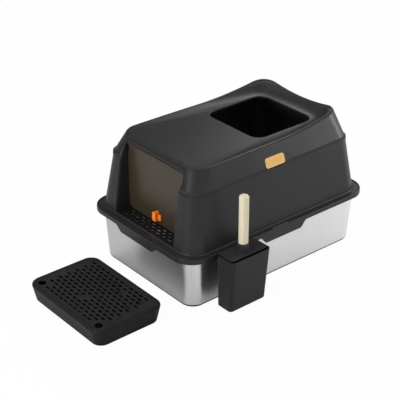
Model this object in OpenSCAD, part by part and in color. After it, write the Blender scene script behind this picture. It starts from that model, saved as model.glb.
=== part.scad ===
// Enclosed litter box: a deep-drawn steel pan, a two-part hood with a front flap and a top entry,
// a scoop in a holder that hangs on the rim, and a loose step with a lift-out grid.
// Frame: +Z up, the door faces -Y, the origin is on the floor under the middle of the hood's flange.

/* [Hood outline] */
// Width of the hood's flange, the widest part of the box
hood_w = 400; // [360:1:480]
// Length of the hood's flange
hood_l = 600; // [520:1:720]
// Corner radius of the flange, seen from above
hood_r = 57; // [50:1:70]
// Height of the flange lip's lower edge over the floor
lip_bottom = 137; // [110:1:170]
// Height of the flange lip
lip_h = 12; // [11:1:16]
// Height from the flange to the parting line of the hood
lower_h = 144.5; // [120:0.5:180]
// Height from the parting line to the front edge of the roof
upper_h = 53; // [50:0.5:62]
// Wall thickness of the hood mouldings
wall = 2.6; // [2:0.1:3.2]

/* [Hood lean] */
// Setback of the hood wall from the flange edge on the long sides
foot_side = 15; // [13:0.5:18]
// Setback of the hood wall from the flange edge at the front and back
foot_end = 22.5; // [18:0.5:26]
// How far each long side leans in up to the parting line
lean_side = 19; // [8:0.5:24]
// How far each end leans in up to the parting line
lean_end = 19.5; // [10:0.5:24]
// How far each long side leans in above the parting line
roof_side = 16.5; // [10:0.5:22]
// How far the front leans in above the parting line
roof_front = 25; // [18:0.5:30]
// How far the back leans in above the parting line
roof_back = 17.5; // [12:0.5:26]
// How much narrower the roof gets towards the back, on each side
roof_taper = 12; // [6:0.5:20]
// How far the roof's back corners rise over its front edge
ear_rise = 25; // [10:0.5:30]
// Distance of the rise's start behind the middle of the box
ear_start = 20; // [0:1:60]
// How far the roof's back edge dips between its corners
ear_dip = 17; // [0:0.5:20]
// Depth of the parting bead over the wall
bead = 1.6; // [1:0.1:3]
// Height of each half of the parting bead
bead_h = 4.4; // [3:0.1:6]

/* [Top entry] */
// Width of the top entry
hatch_w = 196; // [150:1:230]
// Length of the top entry
hatch_l = 191; // [150:1:220]
// Corner radius of the top entry
hatch_r = 30; // [15:1:40]
// Distance of the top entry's middle behind the middle of the box
hatch_y = 94.4; // [70:0.1:100]
// Depth of the top entry's edge below the roof's front edge
hatch_sink = 6.5; // [4:0.5:12]
// Height of the collar that hangs round the top entry
hatch_collar = 4.5; // [4:0.5:12]

/* [Door] */
// Width of the door opening
door_w = 224; // [180:1:250]
// Height of the sill over the flange
door_sill = 1.5; // [1:0.5:10]
// Distance from the roof's front edge down to the door opening
door_head = 13.5; // [12.5:0.5:20]
// Corner radius at the top of the door opening
door_r = 18; // [12:1:24]
// How far the door's edge flares out towards the front
door_flare = 3.5; // [2:0.5:5]
// Depth of the flared edge
flare_d = 10; // [6:0.5:14]
// Thickness of the flap
flap_t = 2.4; // [2:0.1:3]
// Gap between the flap and each side of the door
flap_gap = 1.6; // [1.2:0.1:4]
// Gap between the flap and the pedal grid under it
flap_lift = 2.6; // [2:0.1:6]
// Width of the flap's thicker border
flap_border = 17; // [12:1:24]
// Distance of the hinge pins behind the flange's front edge
hinge_setback = 67; // [65:0.5:76]
// Distance of the hinge pins below the top of the door opening
hinge_drop = 7; // [6:0.5:12]
// Radius of the hinge pins
pin_r = 2; // [1.5:0.1:2.5]
// Radial clearance of the hinge pins in their brackets
pin_play = 0.08; // [0.04:0.01:0.1]
// Distance of the lock from the middle of the flap
lock_x = 4; // [-20:1:20]
// How far the lock's bolt drops
lock_travel = 6; // [5:0.5:7]
// Width of the lock's thumb grip
grip_w = 12; // [9:0.5:15]
// Height of the lock's thumb grip
grip_h = 24; // [20:0.5:26]
// How far the thumb grip stands out
grip_d = 10; // [7:0.5:12]

/* [Lid latches] */
// Length of a latch button
button_l = 60; // [50:1:72]
// Height of a latch button
button_h = 23.5; // [20:0.5:28]
// Distance of the latch buttons in front of the middle of the box
button_setback = 1; // [-20:1:20]
// How far a latch button goes in
button_travel = 4; // [3:0.1:4.5]
// Gap round a latch button
button_gap = 0.9; // [0.4:0.05:1]
// Outer radius of a latch spring
spring_r = 4; // [3:0.1:5]
// Wire diameter of a latch spring
spring_wire = 0.9; // [0.6:0.1:1.1]

/* [Pan] */
// Thickness of the steel
steel = 0.8; // [0.6:0.1:1.2]
// Distance from the flange edge to the pan's wall
pan_inset = 19; // [17:0.5:24]
// Draft of the pan's long sides
pan_draft_side = 6; // [3:0.5:12]
// Draft of the pan's ends
pan_draft_end = 7.5; // [3:0.5:14]
// Bend radius round the pan's floor
pan_bend = 10; // [6:0.5:16]

/* [Scoop and holder] */
// Length of the holder along the box
holder_l = 119; // [100:1:140]
// Depth of the holder at its mouth
holder_d = 61; // [52:1:72]
// Height of the holder
holder_h = 141; // [120:1:144]
// How much shallower the holder gets towards its floor
holder_taper = 11; // [0:0.5:16]
// Distance of the holder's middle in front of the middle of the box
holder_setback = 159; // [150:1:180]
// Corner radius of the holder
holder_r = 10; // [6:0.5:14]
// Wall thickness of the holder
holder_wall = 2.4; // [2:0.1:3]
// Width of the scoop's blade
blade_w = 94; // [76:1:100]
// Depth of the blade's side walls at their top
blade_d = 27; // [20:1:32]
// Diameter of the scoop's wooden handle
handle_d = 23.5; // [20:0.5:28]
// Length of the handle that shows over its socket
handle_l = 124; // [100:1:160]

/* [Step] */
// Width of the step, across the door
step_w = 292; // [240:1:350]
// Depth of the step, from front to back
step_d = 196; // [160:1:235]
// Height of the step
step_h = 48; // [40:1:58]
// Gap between the step and the hood's flange
step_gap = 41.5; // [20:0.5:100]
// Distance of the step's middle to the right of the door's middle
step_x = 22.5; // [-40:0.5:40]
// Corner radius of the step
step_r = 30; // [24:1:36]
// How much narrower the step gets towards the floor, on each side
step_taper = 9; // [4:0.5:12]
// Length of a slot in the grids
slot_l = 14; // [10:0.5:16]
// Width of a slot in the grids
slot_w = 5.6; // [4:0.1:6]
// Diameter of the finger holes in the step's grid
finger_d = 20; // [18:0.5:24]

/* [Hidden] */
$fn = 48;

// Colours
charcoal = [0.2, 0.2, 0.21];
dark = [0.14, 0.14, 0.145];
amber = [0.95, 0.66, 0.3];
orange = [0.93, 0.45, 0.14];
smoke = [0.36, 0.33, 0.29, 0.75];
bright_steel = [0.78, 0.79, 0.8];
cream = [0.93, 0.9, 0.82];

// Gaps between pieces that rest on each other, and between pieces that slide in each other
seat = 0.3;
slip = 0.4;
// Radial clearance of the handle in its socket
handle_fit = 0.05;

// Heights of the hood
flange_z = lip_bottom + lip_h;
flange_t = 3;
seam_z = flange_z + lower_h;
roof_z = seam_z + upper_h;
hatch_z = roof_z - hatch_sink;

// Steps round each corner, and points along the straight stretches of the curved roof
corner_steps = 7;
short_points = 5;
long_points = 8;

function mix(a, b, t) = a + (b - a) * t;
function corner(cx, cy, r, a0) = [
    for (i = [0:corner_steps])
        let (a = a0 + 90 * i / corner_steps) [cx + r * cos(a), cy + r * sin(a)]
];
function stretch(p, q, n) = [for (i = [1:1:n]) mix(p, q, i / (n + 1))];

// A rounded rectangle, anticlockwise from its right side, with n_short and n_long points added
// along its straight stretches
function plan(w, l, r, n_short = 0, n_long = 0) =
    let (
        x = w / 2 - r,
        y = l / 2 - r,
        c = [corner(x, y, r, 0), corner(-x, y, r, 90), corner(-x, -y, r, 180), corner(x, -y, r, 270)],
        n = [n_short, n_long, n_short, n_long]
    )
    [for (i = [0:3]) each concat(c[i], stretch(c[i][corner_steps], c[(i + 1) % 4][0], n[i]))];

// A ring of a shell: the plan v = [width, length, corner radius] at height z, moved by x and y
function ring(v, z, x = 0, y = 0) = [for (p = plan(v[0], v[1], v[2])) [p[0] + x, p[1] + y, z]];
// The plan v grown by d all round
function grown(v, d) = [v[0] + 2 * d, v[1] + 2 * d, v[2] + d];

// Solid between stacked rings. A closed skin joins its last ring to its first, as a bent sheet
// does. An open one is capped at both ends.
module skin(rings, closed = false) {
    count = len(rings);
    n = len(rings[0]);
    bands = closed ? count : count - 1;
    sides = [
        for (k = [0:bands - 1], i = [0:n - 1])
            let (
                a = k * n + i,
                b = k * n + (i + 1) % n,
                c = ((k + 1) % count) * n + (i + 1) % n,
                d = ((k + 1) % count) * n + i
            )
            each [[a, d, c], [a, c, b]]
    ];
    low_cap = [for (i = [0:n - 1]) i];
    high_cap = [for (i = [n - 1:-1:0]) (count - 1) * n + i];
    polyhedron(
        points = [for (r = rings) each r],
        faces = closed ? sides : concat(sides, [low_cap, high_cap]),
        convexity = 8
    );
}

// Flat outline with true round corners
module rounded(w, h, r) {
    square([w - 2 * r, h], center = true);
    square([w, h - 2 * r], center = true);
    for (sx = [-1, 1], sy = [-1, 1])
        translate([sx * (w / 2 - r), sy * (h / 2 - r)])
            circle(r);
}

// Extrudes an outline drawn in X and Z from y0 to y1
module along_y(y0, y1) {
    translate([0, y1, 0])
        rotate([90, 0, 0])
            linear_extrude(y1 - y0)
                children();
}

// Extrudes an outline drawn in Y and Z from x0 to x1
module along_x(x0, x1) {
    translate([x0, 0, 0])
        rotate([90, 0, 90])
            linear_extrude(x1 - x0)
                children();
}

// A rod along X
module rod_x(x0, x1, r) {
    along_x(x0, x1)
        circle(r);
}

// Both sides of the box: the children and their mirror image
module both_sides() {
    children();
    mirror([1, 0, 0])
        children();
}

// Slots in staggered rows that fill w by l, left out where they meet the w by l boxes of keep_out,
// each given as [x, y, w, l]
module slot_rows(w, l, pitch_x, pitch_y, keep_out = []) {
    rows = floor((l - slot_w) / pitch_y);
    columns = floor((w - slot_l - pitch_x / 2) / pitch_x);
    for (j = [0:rows], i = [0:columns])
        let (
            x = (i - columns / 2) * pitch_x + (j % 2 == 0 ? -1 : 1) * pitch_x / 4,
            y = (j - rows / 2) * pitch_y,
            hit = [
                for (k = keep_out)
                    if (abs(x - k[0]) < (k[2] + slot_l) / 2 && abs(y - k[1]) < (k[3] + slot_w) / 2) k
            ]
        )
        if (len(hit) == 0)
            translate([x, y]) {
                square([slot_l - slot_w, slot_w], center = true);
                for (s = [-1, 1])
                    translate([s * (slot_l - slot_w) / 2, 0])
                        circle(slot_w / 2);
            }
}

// Hood walls

flange_plan = [hood_w, hood_l, hood_r];
foot_plan = [hood_w - 2 * foot_side, hood_l - 2 * foot_end, hood_r - 14];
seam_plan = [foot_plan[0] - 2 * lean_side, foot_plan[1] - 2 * lean_end, foot_plan[2] - 3];
foot_z = flange_z + 4.2;
seam_front_y = -seam_plan[1] / 2;

// The lower wall's outer plan, and its front face's place, at height z
function wall_plan(z) = mix(foot_plan, seam_plan, (z - foot_z) / (seam_z - foot_z));
function front_y(z) =
    z < seam_z
        ? -wall_plan(z)[1] / 2
        : seam_front_y + roof_front * (z - seam_z) / upper_h;

// The tongue on the lower moulding stands inside the upper one and leans in with it
tongue_h = 6.5;
tongue_t = 1.9;
tongue_foot = 12;
tongue_plan = grown(seam_plan, -wall - slip);
tongue_lean = tongue_h / upper_h;
tongue_top_plan = [
    tongue_plan[0] - 2 * (roof_side + roof_taper) * tongue_lean,
    tongue_plan[1] - 2 * max(roof_front, roof_back) * tongue_lean,
    tongue_plan[2] - 2
];

// The channel round the flange that the scoop holder hooks into
channel_out = 3.2;
channel_in = 8.6;
channel_d = 1.8;

// Door, hinge and pedal

sill_z = flange_z + door_sill;
door_top_z = roof_z - door_head;
hinge_y = -hood_l / 2 + hinge_setback;
hinge_z = door_top_z - hinge_drop;
beam_r = pin_r + 1.7;
flap_w = door_w - 2 * flap_gap;
pin_l = 14;
cheek_t = 2.6;
cheek_x = door_w / 2;
cheek_back_y = hinge_y + 9;
bracket_back_y = hinge_y + 15;

// The pedal grid lies on a shelf between the cheeks of the lower hood
grid_t = 2.6;
grid_top_z = sill_z - 1.3;
grid_rim = 7;
grid_front_y = front_y(foot_z) + wall + 2;
grid_back_y = hinge_y + 68;
grid_w = door_w - 2 * slip - 0.4;
shelf_t = 2.4;
shelf_w = 6;
shelf_z = grid_top_z - grid_rim - seat;
flap_bottom_z = grid_top_z + flap_lift;

// The door's edge, grown by g, at a depth behind the wall's face that follows its lean, but no
// further back than just before the flap's beam
edge_back_y = hinge_y - beam_r - 1.2;
function door_ring(g, depth, back = edge_back_y) =
    let (
        x = door_w / 2 + g,
        r = door_r + g,
        top = door_top_z + g,
        outline = concat(
            [[-x, sill_z], [x, sill_z], [x, seam_z]],
            corner(x - r, top - r, r, 0),
            corner(r - x, top - r, r, 90),
            [[-x, seam_z]]
        )
    )
    [for (p = outline) [p[0], min(front_y(p[1]) + depth, back), p[1]]];

module door_cut() {
    skin([
        door_ring(0, 24, 0), door_ring(0, flare_d), door_ring(door_flare, 0), door_ring(door_flare, -8)
    ]);
}

// The moulded return behind the door's flared edge
module door_surround() {
    skin([
        door_ring(cheek_t, flare_d), door_ring(cheek_t + door_flare, 1)
    ]);
}

// Lower hood

function wall_ring(d, z) = ring(grown(wall_plan(z), d), z);

module lower_shell() {
    skin(concat(
        [
            ring(flange_plan, lip_bottom),
            ring(flange_plan, flange_z - 1.2),
            ring(grown(flange_plan, -1.2), flange_z),
            ring(grown(flange_plan, -channel_out), flange_z),
            ring(grown(flange_plan, -channel_out - 0.6), flange_z - channel_d),
            ring(grown(flange_plan, -channel_in + 0.6), flange_z - channel_d),
            ring(grown(flange_plan, -channel_in), flange_z),
            ring(grown(foot_plan, 3), flange_z),
            ring(grown(foot_plan, 0.9), flange_z + 1.1),
            wall_ring(0, foot_z),
            wall_ring(0, seam_z - seat - bead_h - 1.6),
            wall_ring(bead, seam_z - seat - bead_h),
            wall_ring(bead, seam_z - seat - 0.7),
            wall_ring(bead - 0.7, seam_z - seat)
        ],
        [
            ring(tongue_plan, seam_z - seat),
            ring(tongue_top_plan, seam_z + tongue_h),
            ring(grown(tongue_top_plan, -tongue_t), seam_z + tongue_h),
            ring(grown(tongue_plan, -tongue_t), seam_z - seat),
            ring(grown(tongue_plan, -tongue_t), seam_z - tongue_foot + 4),
            wall_ring(-wall, seam_z - tongue_foot)
        ],
        [
            wall_ring(-wall, foot_z),
            ring(grown(foot_plan, -wall), flange_z - flange_t),
            ring(grown(flange_plan, -wall), flange_z - flange_t),
            ring(grown(flange_plan, -wall), lip_bottom)
        ]
    ), closed = true);
}

// A tab under the lip: its top and bottom half widths joined by an S-curve on each side
function tab_outline(top, bottom, h) =
    let (
        side = [for (i = [0:8])
            let (t = i / 8) [mix(top, bottom, t), lip_bottom - h * (1 - cos(180 * t)) / 2]]
    )
    concat(
        [[top, lip_bottom + 2]], side,
        [for (i = [8:-1:0]) [-side[i][0], side[i][1]]], [[-top, lip_bottom + 2]]
    );

side_tab = [77, 55, 18];
end_tab = [84, 57, 15];
ridge_l = 60;

module lip_tabs() {
    both_sides() {
        along_x(hood_w / 2 - wall, hood_w / 2)
            polygon(tab_outline(side_tab[0], side_tab[1], side_tab[2]));
        // The snap ridge that clicks past the pan's rolled edge
        translate([hood_w / 2 - wall, 0, lip_bottom + 1])
            rotate([90, 0, 0])
                cylinder(r = 2, h = ridge_l, center = true);
    }
    for (s = [0, 1])
        mirror([0, s, 0])
            along_y(-hood_l / 2, -hood_l / 2 + wall)
                polygon(tab_outline(end_tab[0], end_tab[1], end_tab[2]));
}

// The moulding window over each side tab
window_l = 54;
window_w = 6.4;
window_y = -4.5;

module lip_windows() {
    both_sides()
        translate([hood_w / 2 - channel_out - window_w, window_y - window_l / 2, flange_z - flange_t - 1])
            cube([window_w, window_l, flange_t + 2]);
}

// Side wall of the door's tunnel, with the shelf that the pedal grid lies on
module lower_cheek() {
    along_x(cheek_x, cheek_x + cheek_t)
        polygon([
            [front_y(foot_z) + 4, shelf_z - shelf_t], [front_y(foot_z) + 4, flange_z - flange_t],
            [front_y(foot_z) + 1, foot_z], [seam_front_y + 1, seam_z - seat],
            [cheek_back_y, seam_z - seat], [cheek_back_y, grid_top_z + 5],
            [cheek_back_y + 6, grid_top_z], [grid_back_y, grid_top_z], [grid_back_y, shelf_z - shelf_t]
        ]);
    translate([cheek_x - shelf_w, front_y(foot_z) + wall + 1, shelf_z - shelf_t])
        cube([shelf_w + 1, grid_back_y - front_y(foot_z) - wall - 1, shelf_t]);
}

module front_shelf() {
    y = front_y(foot_z) + wall - 1.4;
    translate([-cheek_x, y, shelf_z - shelf_t])
        cube([door_w, shelf_w + 2, shelf_t]);
    translate([-cheek_x, y, shelf_z - shelf_t])
        cube([door_w, 2, flange_z - flange_t - shelf_z + shelf_t + 0.6]);
}

// The catch ledge inside the tongue, over the nose of each latch
catch_l = 44;
catch_d = 2.6;
catch_z = seam_z - 5;
catch_x = seam_plan[0] / 2 - wall - slip - tongue_t;

module catch_ledge() {
    along_y(-button_setback - catch_l / 2, -button_setback + catch_l / 2)
        polygon([
            [catch_x + 0.5, catch_z - catch_d], [catch_x - catch_d, catch_z],
            [catch_x - catch_d, catch_z + 1.4], [catch_x + 0.5, catch_z + 1.4 + catch_d]
        ]);
}

// Gaps in the tongue where the latches pass
module tongue_gaps() {
    l = button_l + 12;
    both_sides()
        translate([foot_plan[0] / 2 - 40, -button_setback - l / 2, seam_z - seat])
            cube([40, l, tongue_h + 1]);
}

module lower_hood() {
    above_seam = [door_w + 20, 40, 20];
    color(charcoal)
        difference() {
            union() {
                lower_shell();
                lip_tabs();
                both_sides() {
                    lower_cheek();
                    catch_ledge();
                }
                front_shelf();
                intersection() {
                    door_surround();
                    translate([-hood_w / 2, -hood_l / 2, 0])
                        cube([hood_w, hood_l, seam_z - seat]);
                }
            }
            door_cut();
            lip_windows();
            tongue_gaps();
            translate([-above_seam[0] / 2, seam_front_y - 5, seam_z - seat])
                cube(above_seam);
        }
}

// Upper hood

// Outline of the wall a share h of the way up from the parting line to the roof's edge, moved in by d
function roof_plan(h, d) =
    let (
        w = seam_plan[0] - 2 * roof_side * h - 2 * d,
        l = seam_plan[1] - (roof_front + roof_back) * h - 2 * d,
        mid = (roof_front - roof_back) * h / 2
    )
    [
        for (p = plan(w, l, seam_plan[2] + 8 * h - d, short_points, long_points))
            let (t = p[1] / l + 0.5)
            [p[0] * (1 - roof_taper * h * t * t * 2 / w), p[1] + mid]
    ];

roof_edge = roof_plan(1, 0);
roof_back_y = seam_plan[1] / 2 - roof_back;
roof_back_w = seam_plan[0] - 2 * roof_side - 2 * roof_taper;

// Height of the roof's edge at each of its points
edge_z = [
    for (p = roof_edge)
        let (
            s = pow(max(0, (p[1] - ear_start) / (roof_back_y - ear_start)), 1.9),
            middle = 1 - pow(2 * p[0] / roof_back_w, 2)
        )
        roof_z + ear_rise * s - ear_dip * s * s * max(0, middle)
];

// A ring of the wall, raised by dz
function roof_ring(h, d, dz = 0) =
    let (outline = roof_plan(h, d))
    [for (i = [0:len(outline) - 1]) [outline[i][0], outline[i][1], mix(seam_z, edge_z[i], h) + dz]];

// A ring of the roof's dish, a share t of the way from the top entry out to the roof's edge
dish_curve = 2.2;
hatch_plan = plan(hatch_w, hatch_l, hatch_r, short_points, long_points);
function dish_ring(t, d, dz = 0) =
    let (outer = roof_plan(1, d))
    [
        for (i = [0:len(outer) - 1])
            let (p = mix([hatch_plan[i][0], hatch_plan[i][1] + hatch_y], outer[i], t))
            [p[0], p[1], mix(hatch_z, edge_z[i], pow(t, dish_curve)) + dz]
    ];
function hatch_ring(g, z) = [
    for (p = plan(hatch_w + 2 * g, hatch_l + 2 * g, hatch_r + g, short_points, long_points))
        [p[0], p[1] + hatch_y, z]
];
function seam_ring(d, z) = [
    for (p = plan(seam_plan[0] + 2 * d, seam_plan[1] + 2 * d, seam_plan[2] + d, short_points, long_points))
        [p[0], p[1], z]
];

module upper_shell() {
    edge_in = 5.5;
    skin(concat(
        [
            seam_ring(bead - 0.7, seam_z),
            seam_ring(bead, seam_z + 0.7),
            seam_ring(bead - 0.3, seam_z + bead_h),
            roof_ring(0.12, 0)
        ],
        [for (h = [0.4, 0.7, 0.92]) roof_ring(h, 0)],
        [roof_ring(0.96, 0.5), roof_ring(1, 2.2, -0.3), dish_ring(1, edge_in)],
        [for (t = [0.88, 0.75, 0.6, 0.4, 0.2, 0.05]) dish_ring(t, edge_in)],
        [hatch_ring(0.4, hatch_z - 0.5), hatch_ring(0, hatch_z - 1.6), hatch_ring(0, hatch_z - hatch_collar)],
        [hatch_ring(wall, hatch_z - hatch_collar), hatch_ring(wall, hatch_z - wall - 0.6)],
        [for (t = [0.2, 0.4, 0.6, 0.75, 0.88]) dish_ring(t, edge_in + wall, -wall)],
        [dish_ring(1, edge_in + wall, -wall), roof_ring(0.88, wall)],
        [for (h = [0.7, 0.4, 0.12]) roof_ring(h, wall)],
        [seam_ring(-wall, seam_z)]
    ), closed = true);
}

// Plate beside the door that carries a hinge pin
module hinge_bracket() {
    low = seam_z + seat;
    high = roof_z - wall;
    along_x(cheek_x, cheek_x + cheek_t)
        difference() {
            polygon([
                [seam_front_y + 4, low], [front_y(high) + 1.3, high], [bracket_back_y, high],
                [bracket_back_y, low]
            ]);
            translate([hinge_y, hinge_z])
                circle(pin_r + pin_play);
        }
}

// Outer face of the side wall at the latch, as X over height
latch_y = -button_setback;
latch_t = (latch_y - seam_front_y - roof_front) / (roof_back_y - seam_front_y - roof_front);
latch_lean = (roof_side + roof_taper * latch_t * latch_t) / upper_h;
latch_z = seam_z + 2.4 + button_h / 2;
function side_x(z) = seam_plan[0] / 2 - (z - seam_z) * latch_lean;
button_r = 5.5;

// Latch stack, from the spring's seat out to the wall
flange_over = 3;
plate_t = 1.8;
plate_x = side_x(latch_z + button_h / 2 + flange_over) - wall - 1.6 - plate_t;
cover_t = 2.2;
spring_l = 11;
cover_x = plate_x - spring_l - cover_t;
screw_span = button_l + 2 * flange_over + 22;
screw_r = 1.5;
ear_x = plate_x - 3.4;

module latch_bosses() {
    for (s = [-1, 1])
        difference() {
            translate([0, latch_y + s * screw_span / 2, latch_z])
                rod_x(ear_x + cover_t, side_x(latch_z) - 1, 4.4);
            translate([0, latch_y + s * screw_span / 2, latch_z])
                rod_x(ear_x + cover_t - 1, ear_x + cover_t + 9, screw_r);
        }
}

module latch_window() {
    translate([0, latch_y, latch_z])
        along_x(plate_x + plate_t, seam_plan[0] / 2 + 10)
            rounded(button_l + 2 * button_gap, button_h + 2 * button_gap, button_r + button_gap);
}

module upper_hood() {
    color(charcoal)
        difference() {
            union() {
                upper_shell();
                both_sides() {
                    hinge_bracket();
                    latch_bosses();
                }
                intersection() {
                    door_surround();
                    translate([-hood_w / 2, -hood_l / 2, seam_z])
                        cube([hood_w, hood_l, hood_w]);
                }
            }
            door_cut();
            both_sides()
                latch_window();
        }
}

// Flap

pad_w = 40;
pad_h = 44;
border_t = flap_t + 1.8;
stem_w = 5;
stem_h = 10;
stem_z = flap_bottom_z + 18;

// The flap's outline, moved in by d. Its shoulders draw in under the door's round top corners.
module flap_outline(d) {
    low = flap_bottom_z + d;
    x = flap_w / 2 - d;
    neck = x - 3.4;
    translate([0, (low + hinge_z - 20) / 2])
        rounded(2 * x, hinge_z - 20 - low, 16 - d / 2);
    polygon([
        [-x, hinge_z - 70], [x, hinge_z - 70], [x, hinge_z - 30], [neck, hinge_z - 18],
        [neck, hinge_z], [-neck, hinge_z], [-neck, hinge_z - 18], [-x, hinge_z - 30]
    ]);
}

module lock_slot() {
    translate([lock_x - stem_w / 2 - slip, stem_z - stem_h / 2 - lock_travel - slip])
        square([stem_w + 2 * slip, stem_h + lock_travel + 2 * slip]);
}

module entry_flap() {
    color(smoke)
        difference() {
            union() {
                along_y(hinge_y - flap_t / 2, hinge_y + flap_t / 2)
                    flap_outline(0);
                along_y(hinge_y - border_t / 2, hinge_y + border_t / 2) {
                    difference() {
                        flap_outline(0);
                        flap_outline(flap_border);
                    }
                    translate([lock_x - pad_w / 2, flap_bottom_z + 2])
                        square([pad_w, pad_h - 2]);
                }
                translate([0, hinge_y, hinge_z]) {
                    rod_x(-flap_w / 2, flap_w / 2, beam_r);
                    rod_x(-cheek_x + seat, cheek_x - seat, pin_r + 1.2);
                }
            }
            along_y(hinge_y - border_t, hinge_y + border_t)
                lock_slot();
            both_sides()
                translate([0, hinge_y, hinge_z])
                    rod_x(cheek_x + cheek_t + 0.4 - pin_l, cheek_x, pin_r);
        }
}

module flap_pins() {
    color(bright_steel)
        both_sides()
            translate([0, hinge_y, hinge_z])
                rod_x(cheek_x + cheek_t + 0.4 - pin_l, cheek_x + cheek_t + 0.4, pin_r);
}

// The lock: a plate with a thumb grip in front of the flap, a stem through the flap, and the bolt
// on the clip behind it
lock_w = 28;
lock_h = 16;
lock_t = 3;
bolt_w = 14;
lock_low_z = stem_z - 6;
lock_front_y = hinge_y - border_t / 2 - seat - lock_t;
clip_y = hinge_y + border_t / 2 + seat;
clip_t = 2.2;

module flap_lock() {
    color(orange) {
        along_y(lock_front_y, lock_front_y + lock_t)
            translate([lock_x, lock_low_z + lock_h / 2])
                rounded(lock_w, lock_h, 3);
        // The thumb grip, with a round top
        along_y(lock_front_y - grip_d, lock_front_y + lock_t) {
            translate([lock_x - grip_w / 2, lock_low_z])
                square([grip_w, grip_h - grip_w / 2]);
            translate([lock_x, lock_low_z + grip_h - grip_w / 2])
                circle(grip_w / 2);
        }
        translate([lock_x - stem_w / 2, lock_front_y + 1, stem_z - stem_h / 2])
            cube([stem_w, clip_y + clip_t - lock_front_y - 1, stem_h]);
    }
}

module lock_clip() {
    color(orange)
        along_y(clip_y, clip_y + clip_t)
            difference() {
                union() {
                    translate([lock_x, stem_z])
                        rounded(20, 18, 3);
                    translate([lock_x - bolt_w / 2, flap_bottom_z - 0.4])
                        square([bolt_w, stem_z - flap_bottom_z - 6]);
                }
                translate([lock_x, stem_z])
                    square([stem_w, stem_h], center = true);
            }
}

// Pedal grid behind the sill

module entry_grid() {
    l = grid_back_y - grid_front_y;
    mid = (grid_back_y + grid_front_y) / 2;
    bolt_y = clip_y + clip_t / 2 - mid;
    color(dark)
        translate([0, mid, 0]) {
            translate([0, 0, grid_top_z - grid_t])
                linear_extrude(grid_t)
                    difference() {
                        rounded(grid_w, l, 6);
                        slot_rows(grid_w - 16, l - 14, 21, 10.5, [[lock_x, bolt_y, bolt_w + 9, clip_t + 4]]);
                        translate([lock_x, bolt_y])
                            square([bolt_w + 4, clip_t + 2.4], center = true);
                    }
            translate([0, 0, grid_top_z - grid_rim])
                linear_extrude(grid_rim - 1)
                    difference() {
                        rounded(grid_w, l, 6);
                        rounded(grid_w - 4.4, l - 4.4, 3.8);
                    }
        }
}

// Lid latches, drawn for the right side

hook_w = 34;
hook_t = 1.8;
hook_reach = catch_x - catch_d - seat;

module latch_button() {
    proud = 1;
    edge = 1.4;
    tilt = atan(latch_lean);
    // The pressed face lies along the leaning wall
    intersection() {
        translate([0, latch_y, latch_z])
            along_x(plate_x + 0.5, seam_plan[0] / 2)
                rounded(button_l, button_h, button_r);
        translate([side_x(latch_z) + proud, latch_y, latch_z])
            rotate([0, -tilt, 0])
                translate([-60, -50, -50])
                    cube([60, 100, 100]);
    }
    translate([0, latch_y, latch_z])
        along_x(plate_x, plate_x + plate_t)
            rounded(button_l + 2 * flange_over, button_h + 2 * flange_over, 4);
    // Spigots that centre the springs
    for (s = [-1, 1])
        translate([0, latch_y + s * button_l / 4, latch_z])
            rod_x(plate_x - 3, plate_x + 0.5, spring_r - spring_wire - slip);
    // The arm down to the nose that reaches under the catch ledge
    along_y(latch_y - hook_w / 2, latch_y + hook_w / 2)
        polygon([
            [plate_x, latch_z - button_h / 2], [plate_x, catch_z - catch_d - 8],
            [plate_x + 4, catch_z - catch_d - 8], [hook_reach, catch_z - catch_d - 3.4],
            [hook_reach, catch_z - catch_d - 1.2], [plate_x + hook_t, catch_z - catch_d - 4],
            [plate_x + hook_t, latch_z - button_h / 2]
        ]);
}

module latch_cover() {
    in_l = button_l + 2 * flange_over + 2;
    in_h = button_h + 2 * flange_over + 1.6;
    low = latch_z - in_h / 2 + 4;
    top = latch_z + in_h / 2;
    // Back wall, with the springs' spigots
    translate([cover_x, latch_y - in_l / 2 - cover_t, low])
        cube([cover_t, in_l + 2 * cover_t, top - low + cover_t]);
    for (s = [-1, 1])
        translate([0, latch_y + s * button_l / 4, latch_z])
            rod_x(cover_x + 0.5, plate_x - 3.6 - button_travel, spring_r - spring_wire - slip);
    // Sides and roof round the button's plate
    for (s = [-1, 1])
        translate([cover_x, latch_y + s * (in_l + cover_t) / 2 - cover_t / 2, low])
            cube([plate_x - cover_x - 1, cover_t, top - low + cover_t]);
    translate([cover_x, latch_y - in_l / 2 - cover_t, top])
        cube([plate_x - cover_x - 1, in_l + 2 * cover_t, cover_t]);
    // Screw ears
    for (s = [-1, 1])
        difference() {
            translate([0, latch_y + s * screw_span / 2, latch_z])
                along_x(ear_x, ear_x + cover_t) {
                    circle(5);
                    translate([s > 0 ? -9 : 0, -5])
                        square([9, 10]);
                }
            translate([0, latch_y + s * screw_span / 2, latch_z])
                rod_x(ear_x - 1, ear_x + cover_t + 1, screw_r + 0.2);
        }
}

// A coil along X from x0 to x1: rings of the wire along a helix
module spring(x0, x1, turns) {
    steps = 12;
    count = turns * steps;
    r = spring_r - spring_wire / 2;
    skin([
        for (k = [0:count])
            let (
                a = 360 * k / steps,
                x = mix(x0 + spring_wire / 2, x1 - spring_wire / 2, k / count)
            )
            [
                for (i = [0:5])
                    let (b = 60 * i, out = r + spring_wire / 2 * cos(b))
                    [x + spring_wire / 2 * sin(b), out * cos(a), out * sin(a)]
            ]
    ]);
}

module latch_springs() {
    for (s = [-1, 1])
        translate([0, latch_y + s * button_l / 4, latch_z])
            spring(cover_x + cover_t, plate_x, 4);
}

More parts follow.
